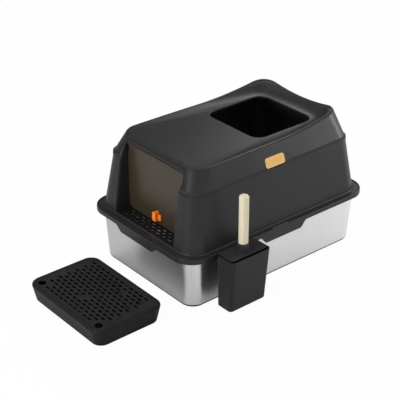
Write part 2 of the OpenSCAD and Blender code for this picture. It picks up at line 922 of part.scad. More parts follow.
module latch_screws() {
    color(bright_steel)
        both_sides()
            for (s = [-1, 1])
                translate([0, latch_y + s * screw_span / 2, latch_z])
                    difference() {
                        union() {
                            rod_x(ear_x - 2, ear_x, 2.9);
                            rod_x(ear_x - 0.5, ear_x + cover_t + 8, screw_r);
                        }
                        translate([ear_x - 2.1, -2, -0.4])
                            cube([1, 4, 0.8]);
                        translate([ear_x - 2.1, -0.4, -2])
                            cube([1, 0.8, 4]);
                    }
}

module latch_button_right() {
    color(amber)
        latch_button();
}

module latch_button_left() {
    color(amber)
        mirror([1, 0, 0])
            latch_button();
}

module latch_cover_right() {
    color(dark)
        latch_cover();
}

module latch_cover_left() {
    color(dark)
        mirror([1, 0, 0])
            latch_cover();
}

module latch_springs_right() {
    color(bright_steel)
        latch_springs();
}

module latch_springs_left() {
    color(bright_steel)
        mirror([1, 0, 0])
            latch_springs();
}

// Litter pan

mouth_plan = grown(flange_plan, -pan_inset);
floor_plan = [
    mouth_plan[0] - 2 * pan_draft_side, mouth_plan[1] - 2 * pan_draft_end, mouth_plan[2] - 2
];
rim_z = flange_z - flange_t - seat;
rim_bend = 4;
roll_r = 2.6;
roll_plan = grown(flange_plan, -wall - 3 - roll_r);

// Rings of a bend about the plan v at height z, with radius r, from angle a0 to a1
function bend(v, z, r, a0, a1, steps) = [
    for (i = [0:steps])
        let (a = mix(a0, a1, i / steps))
        ring(grown(v, r * cos(a)), z + r * sin(a))
];

module litter_pan() {
    floor_axis = grown(floor_plan, -pan_bend);
    rim_axis = grown(mouth_plan, rim_bend);
    rim_axis_z = rim_z - steel - rim_bend;
    roll_z = rim_z - roll_r;
    color(bright_steel)
        skin(concat(
            bend(floor_axis, pan_bend, pan_bend, -90, 0, 4),
            bend(rim_axis, rim_axis_z, rim_bend, 180, 90, 3),
            bend(roll_plan, roll_z, roll_r - steel, 90, -90, 4),
            bend(roll_plan, roll_z, roll_r, -90, 90, 4),
            bend(rim_axis, rim_axis_z, rim_bend + steel, 90, 180, 3),
            bend(floor_axis, pan_bend, pan_bend - steel, 0, -90, 4)
        ));
}

// Scoop and holder

holder_x = hood_w / 2 + slip + 0.1;
holder_y = -holder_setback;
holder_top_z = flange_z + 1;
holder_low_z = holder_top_z - holder_h;
holder_draft = 3;

// A ring of the holder at height z, moved in by d
function holder_ring(z, d) =
    let (
        t = (holder_top_z - z) / holder_h,
        depth = holder_d - holder_taper * t,
        l = holder_l - 2 * holder_draft * t
    )
    ring([depth - 2 * d, l - 2 * d, holder_r - d], z, holder_x + depth / 2, holder_y);

hook_l = 70;
tongue_x = hood_w / 2 - channel_out - 1.4;

module holder_hook() {
    bridge_z = flange_z + seat;
    t = 2.2;
    along_y(holder_y - hook_l / 2, holder_y + hook_l / 2)
        polygon([
            [holder_x + 1, bridge_z], [tongue_x, bridge_z], [tongue_x, flange_z - channel_d + seat],
            [tongue_x - t, flange_z - channel_d + seat], [tongue_x - t, bridge_z + t - 0.8],
            [tongue_x - t + 0.8, bridge_z + t], [holder_x + 1, bridge_z + t]
        ]);
}

module scoop_holder() {
    color(charcoal) {
        skin([
            holder_ring(holder_low_z, 3),
            holder_ring(holder_low_z + 0.9, 0.9),
            holder_ring(holder_low_z + 3, 0),
            holder_ring(holder_top_z - 0.6, 0),
            holder_ring(holder_top_z, 0.6),
            holder_ring(holder_top_z, holder_wall),
            holder_ring(holder_low_z + holder_wall + 2, holder_wall),
            holder_ring(holder_low_z + holder_wall, holder_wall + 2)
        ]);
        holder_hook();
    }
}

// The scoop: a slotted blade under a shoulder plate that carries the handle's socket
plate_gap_front = 5;
shoulder_t = 2.6;
shoulder_z = holder_top_z + 2.4;
shoulder_d = holder_d - 2 * holder_wall - slip - plate_gap_front;
shoulder_l = holder_l - 2 * holder_wall - 2 * slip - 3.6;
shoulder_x = holder_x + holder_wall + slip;
scoop_x = shoulder_x + shoulder_d / 2;
blade_x = shoulder_x + 4;
blade_low_z = holder_low_z + holder_wall + seat;
blade_t = 2;
socket_h = 20;
socket_t = 2.6;
handle_low_z = shoulder_z + 0.6;
slit_w = 5;
slit_pitch = 11;

module blade_slits() {
    high = shoulder_z - 22;
    rows = 2;
    span = (high - blade_low_z - 14) / rows;
    for (j = [0:rows - 1], i = [-3:3])
        translate([holder_y + i * slit_pitch, blade_low_z + 14 + span * (j + 0.5)]) {
            square([slit_w, span - 8 - slit_w], center = true);
            for (s = [-1, 1])
                translate([0, s * (span - 8 - slit_w) / 2])
                    circle(slit_w / 2);
        }
}

module scoop_blade() {
    top = shoulder_z - 1;
    tip_r = 14;
    color(dark) {
        // Slotted back of the blade, with round corners at its tip
        along_x(blade_x, blade_x + blade_t)
            difference() {
                union() {
                    translate([holder_y - blade_w / 2, blade_low_z + tip_r])
                        square([blade_w, top - blade_low_z - tip_r]);
                    translate([holder_y, blade_low_z + tip_r])
                        rounded(blade_w, 2 * tip_r, tip_r - 0.01);
                }
                blade_slits();
            }
        // Side walls that get shallower towards the tip
        for (s = [-1, 1])
            along_y(holder_y + s * (blade_w - blade_t) / 2 - blade_t / 2, holder_y + s * (blade_w - blade_t) / 2 + blade_t / 2)
                polygon([
                    [blade_x, blade_low_z + tip_r], [blade_x + 7, blade_low_z + tip_r],
                    [blade_x + blade_d, blade_low_z + 0.55 * holder_h], [blade_x + blade_d, top],
                    [blade_x, top]
                ]);
        difference() {
            union() {
                translate([scoop_x, holder_y, shoulder_z - shoulder_t])
                    linear_extrude(shoulder_t)
                        rounded(shoulder_d, shoulder_l, holder_r - holder_wall - slip);
                translate([scoop_x, holder_y, shoulder_z - 1])
                    cylinder(d = handle_d + 2 * socket_t, h = socket_h + 1);
            }
            translate([scoop_x, holder_y, handle_low_z])
                cylinder(d = handle_d + 2 * handle_fit, h = socket_h + 2);
            translate([scoop_x, holder_y, shoulder_z - shoulder_t - 1])
                cylinder(r = 2, h = shoulder_t + 4);
        }
    }
}

module scoop_handle() {
    h = handle_l + socket_h - 0.6;
    r = handle_d / 2;
    crown = 5;
    color(cream)
        translate([scoop_x, holder_y, handle_low_z])
            difference() {
                rotate_extrude()
                    union() {
                        square([r, h - crown]);
                        square([r - crown, h]);
                        translate([r - crown, h - crown])
                            circle(crown);
                    }
                translate([0, 0, -1])
                    cylinder(r = 1.7, h = 27);
            }
}

module handle_screw() {
    color(bright_steel)
        translate([scoop_x, holder_y, shoulder_z - shoulder_t]) {
            translate([0, 0, -2.2])
                difference() {
                    cylinder(r = 4, h = 2.2);
                    translate([-3, -0.5, -0.1])
                        cube([6, 1, 1.1]);
                }
            cylinder(r = 1.7, h = 25);
        }
}

// Step

step_y = -hood_l / 2 - step_gap - step_d / 2;
step_plan = [step_w, step_d, step_r];
step_low_z = 1.2;
step_rim = 11;
step_grid_t = 2.4;
step_grid_z = step_h - 1;
recess_plan = grown(step_plan, -step_rim);
foot_r = 8;
rib_t = 2.4;
rib_h = 8;

function step_ring(d, z) =
    let (v = grown(step_plan, -d), narrow = step_taper * (step_h - z) / step_h)
    ring([v[0] - 2 * narrow, v[1] - 2 * narrow, v[2] - narrow / 2], z, step_x, step_y);
function recess_ring(d, z) = ring(grown(recess_plan, -d), z, step_x, step_y);

module foot_places() {
    for (sx = [-1, 1], sy = [-1, 1])
        translate([step_x + sx * (step_w / 2 - step_r - 8), step_y + sy * (step_d / 2 - step_r - 8), 0])
            children();
}

module step_tray() {
    floor_z = step_low_z + 4;
    ledge_z = step_grid_z - step_grid_t - seat;
    color(dark)
        difference() {
            skin([
                step_ring(3.4, step_low_z),
                step_ring(1, step_low_z + 1),
                step_ring(0, step_low_z + 3.4),
                step_ring(0, step_h - 6),
                step_ring(0.9, step_h - 2.8),
                step_ring(2.8, step_h - 0.8),
                step_ring(5.6, step_h),
                recess_ring(-0.6, step_h),
                recess_ring(0, step_h - 0.6),
                recess_ring(0, ledge_z),
                recess_ring(4, ledge_z),
                recess_ring(4.6, ledge_z - 4),
                recess_ring(8, floor_z + 3),
                recess_ring(11, floor_z)
            ]);
            foot_places()
                cylinder(r = foot_r + slip, h = step_low_z + 1.4);
        }
}

module step_grid() {
    edge = 14;
    pitch = 12.4;
    rows = floor((recess_plan[1] - edge - slot_w) / pitch);
    finger_x = recess_plan[0] / 2 - 19;
    finger_y = recess_plan[1] / 2 - 14;
    notch = [finger_d + 10, finger_d + 5];
    rib_y = (floor(rows / 4) + 0.5 - rows / 2) * pitch;
    color(dark)
        translate([step_x, step_y, step_grid_z - step_grid_t]) {
            linear_extrude(step_grid_t)
                difference() {
                    rounded(recess_plan[0] - 2 * slip, recess_plan[1] - 2 * slip, recess_plan[2] - slip);
                    slot_rows(
                        recess_plan[0] - 2 * edge, recess_plan[1] - edge, 19, pitch,
                        [for (s = [-1, 1]) [s * finger_x, -finger_y, notch[0], notch[1]]]
                    );
                    for (s = [-1, 1])
                        translate([s * finger_x, -finger_y])
                            circle(d = finger_d);
                }
            // Ribs that stiffen the grid, each between two rows of slots
            for (s = [-1, 1])
                translate([8 - recess_plan[0] / 2, s * rib_y - rib_t / 2, -rib_h])
                    cube([recess_plan[0] - 16, rib_t, rib_h + 1]);
        }
}

module step_feet() {
    color([0.1, 0.1, 0.1])
        foot_places()
            cylinder(r = foot_r, h = step_low_z + 1.4);
}

litter_pan();
lower_hood();
upper_hood();
entry_flap();
flap_pins();
flap_lock();
lock_clip();
entry_grid();
latch_button_right();
latch_button_left();
latch_cover_right();
latch_cover_left();
latch_springs_right();
latch_springs_left();
latch_screws();
scoop_holder();
scoop_blade();
scoop_handle();
handle_screw();
step_tray();
step_grid();
step_feet();
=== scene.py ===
import math

import bmesh
import bpy
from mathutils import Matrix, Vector


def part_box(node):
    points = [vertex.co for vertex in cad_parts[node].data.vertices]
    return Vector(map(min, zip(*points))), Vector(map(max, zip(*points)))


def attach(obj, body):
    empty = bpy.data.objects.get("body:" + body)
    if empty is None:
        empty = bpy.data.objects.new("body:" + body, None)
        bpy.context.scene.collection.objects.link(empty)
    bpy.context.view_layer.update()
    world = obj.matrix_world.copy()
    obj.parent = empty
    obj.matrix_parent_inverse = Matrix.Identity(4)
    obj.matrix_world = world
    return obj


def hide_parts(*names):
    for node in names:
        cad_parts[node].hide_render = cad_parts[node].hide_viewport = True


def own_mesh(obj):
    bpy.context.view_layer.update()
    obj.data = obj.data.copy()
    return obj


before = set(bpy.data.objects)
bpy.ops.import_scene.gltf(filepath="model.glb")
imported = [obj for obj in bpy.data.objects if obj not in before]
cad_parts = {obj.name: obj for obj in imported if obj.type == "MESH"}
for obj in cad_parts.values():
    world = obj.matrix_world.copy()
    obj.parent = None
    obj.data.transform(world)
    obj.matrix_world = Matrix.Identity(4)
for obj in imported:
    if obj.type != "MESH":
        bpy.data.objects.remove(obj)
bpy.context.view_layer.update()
scene = bpy.context.scene
mm = 0.001  # shapes are worked out in millimetres
print("frame loaded:", len(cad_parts), "nodes")

# Small helpers for node trees


def feed(tree, source, target):  # a socket is wired, a plain value is set
    if isinstance(source, bpy.types.NodeSocket):
        tree.links.new(source, target)
    else:
        target.default_value = source


def addNode(tree, kind, values=None, **settings):  # values go to its inputs, settings to the node
    node = tree.nodes.new(kind)
    for key, value in settings.items():
        setattr(node, key, value)
    for key, value in (values or {}).items():
        feed(tree, value, node.inputs[key])
    return node


def sums(tree, how, *terms, clamp=False):  # one Math node, its output socket
    return addNode(tree, "ShaderNodeMath", dict(enumerate(terms)), operation=how, use_clamp=clamp).outputs[0]


def between(tree, share, low=0.0, high=1.0, first=0.0, last=1.0, **settings):  # one range carried to another
    ends = {"Value": share, "From Min": first, "From Max": last, "To Min": low, "To Max": high}
    return addNode(tree, "ShaderNodeMapRange", ends, **settings).outputs["Result"]


def tinted(tree, share, first, second):  # a colour mixed between two others
    ends = {"Factor": share, 6: first, 7: second}
    return addNode(tree, "ShaderNodeMix", ends, data_type="RGBA").outputs[2]


def agreement(tree, first, second):  # how far two directions agree
    pair = {0: first, 1: second}
    return addNode(tree, "ShaderNodeVectorMath", pair, operation="DOT_PRODUCT").outputs["Value"]


def onObject(tree):
    return addNode(tree, "ShaderNodeTexCoord").outputs["Object"]


def upward(tree):  # 1 where a face looks up, -1 where it looks down
    normal = addNode(tree, "ShaderNodeTexCoord").outputs["Normal"]
    return addNode(tree, "ShaderNodeSeparateXYZ", {0: normal}).outputs["Z"]


def shade(colour, by=1):
    return tuple(min(1.0, c * by) for c in colour) + (1,)


# Camera, lamps and floor

shot = {
    "place": (1.95922, -1.72980, 1.55686),
    "target": (-0.02481, -0.07891, 0.150),
    "lens": 105.09,
    "sensor": 36.0,
    "near": 0.05,
    "far": 60,
}
studio = {
    "skyMatt": 0.5,  # what lights matt surfaces
    "skyBright": 1.0,  # what glossy ones show on the bright side
    "skyDark": 0.12,  # and on the dark side
    "skyBlend": (-0.3, 0.9),  # where one passes into the other
    "brightSide": (0.86, 0.45, 0.25),
    "floorGlow": 0.97,  # share of the floor that ignores shadows
    "floorGloss": 0.9,  # the same in reflections, on the bright side
    "floorBlend": (-0.05, 0.4),
    "floorColour": (0.74, 0.74, 0.74),
    "floorReach": 20,
    "lamps": {
        "overheadLamp": {"at": (-0.9, -0.9, 2.6), "size": 2.4, "power": 24.0, "to": (0, 0, 0.15)},
        "sideLamp": {"at": (0.74, 1.17, 0.44), "size": 0.4, "power": 6.5, "to": (0.15, 0.2, 0.3)},
        "backLamp": {"at": (-0.84, 1.2, 1.35), "size": 0.5, "power": 5.5, "to": (-0.1, 0.2, 0.34)},
        "frontLamp": {"at": (0.25, -1.9, 0.75), "size": 0.35, "power": 17.0, "to": (0, -0.2, 0.2)},
    },
}
white = (1, 1, 1, 1)


def aim(obj, place, target):
    obj.location = place
    obj.rotation_euler = (Vector(target) - Vector(place)).to_track_quat("-Z", "Y").to_euler()
    scene.collection.objects.link(obj)


def emptied(block):  # the cleared node tree of a world or a material
    block.use_nodes = True
    block.node_tree.nodes.clear()
    return block.node_tree


def raysOf(tree):  # 1 for what the camera or glass sees, and 1 for what a glossy face shows
    rays = addNode(tree, "ShaderNodeLightPath").outputs
    return sums(tree, "MAXIMUM", rays["Is Camera Ray"], rays["Is Transmission Ray"]), rays["Is Glossy Ray"]


def byBrightSide(tree, way, blend, dark, bright):
    turned = agreement(tree, way, studio["brightSide"])
    return between(tree, turned, dark, bright, *blend, interpolation_type="SMOOTHSTEP")


def buildCamera():
    camera = bpy.data.cameras.new("camera")
    camera.lens, camera.sensor_width = shot["lens"], shot["sensor"]
    camera.clip_start, camera.clip_end = shot["near"], shot["far"]
    scene.camera = bpy.data.objects.new("camera", camera)
    aim(scene.camera, shot["place"], shot["target"])


def buildLight():
    for name, look in studio["lamps"].items():
        lamp = bpy.data.lights.new(name, "AREA")
        lamp.energy, lamp.size = look["power"], look["size"]
        aim(bpy.data.objects.new(name, lamp), look["at"], look["to"])
    scene.world = bpy.data.worlds.new("studio")
    tree = emptied(scene.world)
    clear, glossy = raysOf(tree)
    way = addNode(tree, "ShaderNodeTexCoord").outputs["Generated"]
    shown = byBrightSide(tree, way, studio["skyBlend"], studio["skyDark"], studio["skyBright"])
    sky = between(tree, glossy, studio["skyMatt"], shown)
    glow = addNode(tree, "ShaderNodeBackground", {"Color": white, "Strength": between(tree, clear, sky, 1.0)})
    addNode(tree, "ShaderNodeOutputWorld", {"Surface": glow.outputs[0]})
    scene.view_settings.view_transform = "Standard"


def buildFloor():
    material = bpy.data.materials.new("paleFloor")
    tree = emptied(material)
    clear, glossy = raysOf(tree)
    shown = byBrightSide(tree, onObject(tree), studio["floorBlend"], 0.0, studio["floorGloss"])
    seen = sums(tree, "MULTIPLY", clear, studio["floorGlow"])
    mirrorImage = sums(tree, "MULTIPLY", sums(tree, "MAXIMUM", clear, glossy), shown)
    matt = addNode(tree, "ShaderNodeBsdfDiffuse", {"Color": shade(studio["floorColour"])})
    pale = addNode(tree, "ShaderNodeEmission", {"Color": white, "Strength": 1.0})
    both = addNode(tree, "ShaderNodeMixShader", {
        0: sums(tree, "MAXIMUM", seen, mirrorImage), 1: matt.outputs[0], 2: pale.outputs[0]})
    addNode(tree, "ShaderNodeOutputMaterial", {"Surface": both.outputs[0]})
    far = studio["floorReach"]
    mesh = bpy.data.meshes.new("floor")
    mesh.from_pydata([(-far, -far, 0), (far, -far, 0), (far, far, 0), (-far, far, 0)], [], [(0, 1, 2, 3)])
    mesh.materials.append(material)
    floor = bpy.data.objects.new("floor", mesh)
    scene.collection.objects.link(floor)


buildCamera()
buildLight()
buildFloor()
print("studio ready")

# Effects that several finishes share


def newGroup(name, kind, inputs, outputs):  # a word names the socket's type, a value is its default
    tree = bpy.data.node_groups.new(name, kind)
    sockets = {}
    for side, rows in (("INPUT", inputs), ("OUTPUT", outputs)):
        for label, value in rows.items():
            what = value if isinstance(value, str) else "Vector" if isinstance(value, tuple) else "Float"
            sockets[label] = tree.interface.new_socket(label, in_out=side, socket_type="NodeSocket" + what)
            if what != value:
                sockets[label].default_value = value
    return tree, addNode(tree, "NodeGroupInput").outputs, addNode(tree, "NodeGroupOutput").inputs, sockets


def noiseOn(tree, vector, scale, detail=3.0, rough=0.55):
    values = {"Vector": vector, "Scale": scale, "Detail": detail, "Roughness": rough}
    return addNode(tree, "ShaderNodeTexNoise", values).outputs["Fac"]


def stretched(tree, vector, stretch):
    return addNode(tree, "ShaderNodeMapping", {"Vector": vector, "Scale": stretch}).outputs["Vector"]


def edgeWearAndLightGroup():  # rubbed edges, also used for painted edge highlights: where a rounded normal leaves the true one
    tree, given, out, _ = newGroup("edgeWear", "ShaderNodeTree", {
        "Width": 0.0012, "Strength": 2.0, "Breakup": 60.0}, {"Mask": "Float"})
    soft = addNode(tree, "ShaderNodeBevel", {"Radius": given["Width"]}, samples=4)
    hard = addNode(tree, "ShaderNodeNewGeometry").outputs["Normal"]
    edge = sums(tree, "SUBTRACT", 1.0, agreement(tree, soft.outputs[0], hard))
    edge = sums(tree, "MULTIPLY", edge, given["Strength"])
    patchy = between(tree, noiseOn(tree, onObject(tree), given["Breakup"]), 0.25, 1.3)
    feed(tree, sums(tree, "MULTIPLY", edge, patchy, clamp=True), out["Mask"])
    return tree


def mouldGrainGroup():  # spark-eroded grain of a moulding, and slow clouding
    tree, given, out, _ = newGroup("mouldGrain", "ShaderNodeTree", {
        "Grain": 2600.0, "Clouds": 14.0}, {"Height": "Float", "Clouding": "Float"})
    where = onObject(tree)
    fine = noiseOn(tree, where, given["Grain"], 2.0)
    spots = {"Vector": where, "Scale": given["Grain"]}
    pits = addNode(tree, "ShaderNodeTexVoronoi", spots, feature="SMOOTH_F1").outputs["Distance"]
    pits = sums(tree, "MULTIPLY", pits, 0.6)
    feed(tree, sums(tree, "ADD", fine, pits), out["Height"])
    feed(tree, noiseOn(tree, where, given["Clouds"], 4.0), out["Clouding"])
    return tree


def brushingGroup():  # fine scratches round the walls and along the flats
    tree, given, out, _ = newGroup("brushing", "ShaderNodeTree", {
        "Fineness": 1800.0, "Clouds": 9.0}, {"Height": "Float", "Streaks": "Float", "Clouding": "Float"})
    where, long = onObject(tree), 0.012
    onWall = noiseOn(tree, stretched(tree, where, (long, long, 1)), given["Fineness"], 4.0)
    onFlat = noiseOn(tree, stretched(tree, where, (1, long, long)), given["Fineness"], 4.0)
    flat = sums(tree, "GREATER_THAN", sums(tree, "ABSOLUTE", upward(tree)), 0.7)
    streaks = between(tree, flat, onWall, onFlat)
    feed(tree, streaks, out["Height"])
    feed(tree, streaks, out["Streaks"])
    feed(tree, noiseOn(tree, where, given["Clouds"], 3.0), out["Clouding"])
    return tree


def settledDustGroup():  # a little dust where a face looks up
    tree, given, out, _ = newGroup("settledDust", "ShaderNodeTree", {
        "Amount": 0.1, "Patches": 22.0}, {"Mask": "Float"})
    up = sums(tree, "POWER", sums(tree, "MAXIMUM", upward(tree), 0.0), 3.0)
    dust = sums(tree, "MULTIPLY", up, noiseOn(tree, onObject(tree), given["Patches"], 6.0, 0.7))
    feed(tree, sums(tree, "MULTIPLY", dust, given["Amount"], clamp=True), out["Mask"])
    return tree


edgeWear, mouldGrain = edgeWearAndLightGroup(), mouldGrainGroup()
brushing, settledDust = brushingGroup(), settledDustGroup()


def useGroup(tree, group, **values):
    node = addNode(tree, "ShaderNodeGroup", node_tree=group)
    for key, value in values.items():
        node.inputs[key].default_value = value
    return node.outputs


def newMaterial(name, **values):
    material = bpy.data.materials.new(name)
    material.use_nodes = True
    shader = material.node_tree.nodes["Principled BSDF"]
    setSockets(material.node_tree, shader, **values)
    return material, material.node_tree, shader


def setSockets(tree, shader, **values):
    for key, value in values.items():
        feed(tree, value, shader.inputs[key.replace("_", " ")])


def bumped(tree, height, depth, strength=1.0):
    node = addNode(tree, "ShaderNodeBump", {"Height": height, "Distance": depth, "Strength": strength})
    return node.outputs[0]


def rubbed(tree, colour, edge, strength=1.0, width=0.0012):  # a colour with its rubbed edges
    wearAndLight = useGroup(tree, edgeWear, Width=width)["Mask"]
    return tinted(tree, sums(tree, "MULTIPLY", wearAndLight, strength), colour, shade(edge))


# The finishes

# edges take a lighter tone: partly rubbed wear, partly painted edge highlight
mould = {
    "rough": 0.42, "spread": 0.05, "level": 0.3, "grain": 2400.0, "depth": 0.00003,
    "wearAndLight": 0.55, "wornAndLightEdge": 5.0, "dust": 0.02, "slot": "hood_plastic",
}
grille = {
    **mould, "rough": 0.45, "spread": 0.06, "level": 0.12, "grain": 2800.0, "depth": 0.00004, "wearAndLight": 0.4,
    # painted shade for the grilles' upright faces
    "wornAndLightEdge": 3.0, "slotWallShade": (0.0025, 0.0025, 0.0026), "slot": "dark_plastic",
}
plastics = {
    "hoodPlastic": {**mould, "colour": (0.0165, 0.0165, 0.0178), "rough": 0.4, "level": 0.32, "wornAndLightEdge": 4.5},
    "binPlastic": {**mould, "colour": (0.0125, 0.0125, 0.0135), "level": 0.24},
    "darkPlastic": {
        **mould, "colour": (0.0095, 0.0095, 0.0102), "rough": 0.43, "spread": 0.06, "level": 0.13,
        "grain": 2800.0, "depth": 0.00004, "wearAndLight": 0.5, "dust": 0.055, "slot": "dark_plastic",
    },
    "gridPlastic": {**grille, "colour": (0.0125, 0.0125, 0.0132), "dust": 0.08},
    "pedalPlastic": {**grille, "colour": (0.008, 0.008, 0.0085)},
    "scoopPlastic": {
        **mould, "colour": (0.024, 0.024, 0.0255), "grain": 2600.0, "wornAndLightEdge": 3.2, "dust": 0.05,
        "slot": "dark_plastic",
    },
    "orangePlastic": {
        **mould, "colour": (0.95, 0.22, 0.025), "rough": 0.3, "spread": 0.08, "level": 0.5, "grain": 3200.0,
        "wearAndLight": 0.8, "wornAndLightEdge": 3.4, "dust": 0.0, "slot": "orange_plastic",
    },
    # the amber's edges are painted darker: painted shade like the shadow in the gap round the button
    "amberPlastic": {
        **mould, "colour": (1.0, 0.56, 0.18), "rough": 0.38, "spread": 0.1, "level": 0.5, "grain": 1500.0,
        "depth": 0.00006, "wearAndLight": 0.5, "wornAndLightEdge": 0.55, "dust": 0.0, "slot": "amber_plastic",
    },
    "footRubber": {
        **mould, "colour": (0.012, 0.012, 0.012), "rough": 0.75, "spread": 0.1, "grain": 2000.0,
        "depth": 0.00008, "wearAndLight": 0.4, "wornAndLightEdge": 2.2, "dust": 0.1, "slot": "rubber",
    },
}
shared = {  # the same for every plastic
    "clouding": 0.15, "wearWidth": 0.0018, "wearGain": 4, "polish": 0.08, "dust": (0.22, 0.21, 0.2),
}


def plastic(name, look):
    material, tree, shader = newMaterial(name, IOR=1.46, Specular_IOR_Level=look["level"])
    grain = useGroup(tree, mouldGrain, Grain=look["grain"])
    strength = look["wearAndLight"] * shared["wearGain"]
    wearAndLight = useGroup(tree, edgeWear, Width=shared["wearWidth"], Strength=strength)["Mask"]
    clouds, base = grain["Clouding"], look["colour"]
    colour = tinted(tree, clouds, shade(base, 1 - shared["clouding"]), shade(base, 1 + shared["clouding"]))
    # the edge tone is partly real wear and partly a painted highlight; where it is darker it is painted shade
    colour = tinted(tree, sums(tree, "MULTIPLY", wearAndLight, look["wearAndLight"]), colour, shade(base, look["wornAndLightEdge"]))
    # upright faces, such as the walls of the slots, are painted dark: painted shade
    if "slotWallShade" in look:
        shadedUpright = between(tree, sums(tree, "ABSOLUTE", upward(tree)), first=0.9, last=0.5)
        colour = tinted(tree, shadedUpright, colour, shade(look["slotWallShade"]))
    if look["dust"]:
        dust = useGroup(tree, settledDust, Amount=look["dust"])["Mask"]
        colour = tinted(tree, dust, colour, shade(shared["dust"]))
    rough = between(tree, clouds, look["rough"] - look["spread"], look["rough"] + look["spread"])
    rough = sums(tree, "SUBTRACT", rough, sums(tree, "MULTIPLY", wearAndLight, shared["polish"]))
    setSockets(tree, shader, Base_Color=colour, Roughness=rough,
               Normal=bumped(tree, grain["Height"], look["depth"]))
    return material


# foot is the colour of the painted contact shadow on the bend at the pan's foot
steelLook = {
    "pale": (0.72, 0.725, 0.73), "dull": (0.62, 0.625, 0.63), "streak": (0.78, 0.78, 0.78),
    "edge": (0.8, 0.8, 0.8), "foot": (0.02, 0.02, 0.02), "rough": 0.33, "spread": 0.05, "drawnOut": 0.8,
    "depth": 0.000003,
}


def brushedSteel():
    material, tree, shader = newMaterial("brushedSteel", Metallic=1.0)
    look, brush = steelLook, useGroup(tree, brushing)
    colour = tinted(tree, brush["Clouding"], shade(look["dull"]), shade(look["pale"]))
    colour = tinted(tree, sums(tree, "MULTIPLY", brush["Streaks"], 0.15), colour, shade(look["streak"]))
    wearAndLight = useGroup(tree, edgeWear, Width=0.0008, Strength=1.5)["Mask"]
    colour = tinted(tree, sums(tree, "MULTIPLY", wearAndLight, 0.4), colour, shade(look["edge"]))
    under = between(tree, upward(tree), first=-0.1, last=-0.22)  # the bend at the foot is painted dark: a painted contact shadow
    colour = tinted(tree, under, colour, shade(look["foot"]))
    rough = between(tree, brush["Streaks"], look["rough"] - look["spread"], look["rough"] + look["spread"])
    around = addNode(tree, "ShaderNodeTangent", direction_type="RADIAL", axis="Z").outputs[0]
    setSockets(tree, shader, Base_Color=colour, Roughness=rough, Tangent=around, Anisotropic=look["drawnOut"],
               Anisotropic_Rotation=0.25, Normal=bumped(tree, brush["Height"], look["depth"]))
    return material


platedLook = {
    "dark": (0.50, 0.51, 0.53), "pale": (0.66, 0.67, 0.69), "edge": (0.78, 0.78, 0.78), "rough": (0.2, 0.42),
    "depth": 0.00001,
}


def platedSteel():
    material, tree, shader = newMaterial("platedSteel", Metallic=1.0)
    look, grain = platedLook, useGroup(tree, mouldGrain, Grain=4000.0, Clouds=160.0)
    colour = tinted(tree, grain["Clouding"], shade(look["dark"]), shade(look["pale"]))
    setSockets(tree, shader, Base_Color=rubbed(tree, colour, look["edge"], width=0.0004),
               Roughness=between(tree, grain["Clouding"], *look["rough"]),
               Normal=bumped(tree, grain["Height"], look["depth"]))
    return material


smokeLook = {
    "colour": (0.06, 0.045, 0.027), "edge": (0.2, 0.18, 0.15), "rough": (0.3, 0.35), "clear": 0.4,
    "level": 0.25, "depth": 0.0004,
}


def smokedPanel():
    look = smokeLook
    material, tree, shader = newMaterial("smokedPanel", IOR=1.49, Specular_IOR_Level=look["level"],
                                         Transmission_Weight=look["clear"])
    clouds = useGroup(tree, mouldGrain, Grain=900.0, Clouds=11.0)["Clouding"]
    colour = tinted(tree, clouds, shade(look["colour"], 0.9), shade(look["colour"], 1.1))
    setSockets(tree, shader, Base_Color=rubbed(tree, colour, look["edge"], 0.5, 0.001),
               Roughness=between(tree, clouds, *look["rough"]),
               Normal=bumped(tree, clouds, look["depth"], 0.4))
    return material


birchLook = {
    "pale": (0.82, 0.76, 0.57), "dark": (0.62, 0.54, 0.37), "pore": (0.5, 0.36, 0.2),
    "edge": (0.92, 0.87, 0.74), "rough": (0.36, 0.52), "depth": 0.00012,
}


def birchWood():
    material, tree, shader = newMaterial("birchWood", Coat_Weight=0.15)
    look, where = birchLook, onObject(tree)
    fibre = noiseOn(tree, stretched(tree, where, (1, 1, 0.035)), 900.0, 5.0, 0.65)
    rings = addNode(tree, "ShaderNodeTexWave", {
        "Vector": stretched(tree, where, (1, 1, 0.12)), "Scale": 55.0, "Distortion": 5.0, "Detail": 3.0,
        "Detail Scale": 1.6}, wave_type="BANDS", bands_direction="X").outputs["Fac"]
    pores = sums(tree, "GREATER_THAN", noiseOn(tree, stretched(tree, where, (1, 1, 0.09)), 2600.0, 2.0), 0.68)
    share = sums(tree, "ADD", sums(tree, "MULTIPLY", rings, 0.35), sums(tree, "MULTIPLY", fibre, 0.5))
    colour = tinted(tree, share, shade(look["pale"]), shade(look["dark"]))
    colour = tinted(tree, sums(tree, "MULTIPLY", pores, 0.25), colour, shade(look["pore"]))
    setSockets(tree, shader, Base_Color=rubbed(tree, colour, look["edge"], 0.5, 0.002),
               Roughness=between(tree, fibre, *look["rough"]), Normal=bumped(tree, fibre, look["depth"], 0.6))
    return material


finish = {name: plastic(name, look) for name, look in plastics.items()}
finish.update(brushedSteel=brushedSteel(), platedSteel=platedSteel(), smokedPanel=smokedPanel(),
              birchWood=birchWood())
slots = {name: look["slot"] for name, look in plastics.items()}
slots.update(brushedSteel="stainless", platedSteel="zinc_steel", smokedPanel="smoke_plastic",
             birchWood="birch")
print("materials ready:", len(finish))

# Making and joining shapes

cornerSteps = 14
edgeStretch = {"short": 14, "long": 26}
seams = {"weld": 0.002, "speck": 0.001, "flatWithin": 0.6, "softenFrom": 32, "evenWeight": 60}


def mixed(a, b, share):
    return a + (b - a) * share


def mixedAll(a, b, share):
    return [mixed(p, q, share) for p, q in zip(a, b)]


def arc(x, y, radius, start, sweep=90, steps=cornerSteps):
    turns = [math.radians(start + sweep * i / steps) for i in range(steps + 1)]
    return [(x + radius * math.cos(t), y + radius * math.sin(t)) for t in turns]


def disc(x, y, radius, steps):
    return arc(x, y, radius, 0, 360, steps)[:-1]


def swung(angles, make):  # what make gives for the cosine and sine of each angle
    return [make(math.cos(math.radians(a)), math.sin(math.radians(a))) for a in angles]


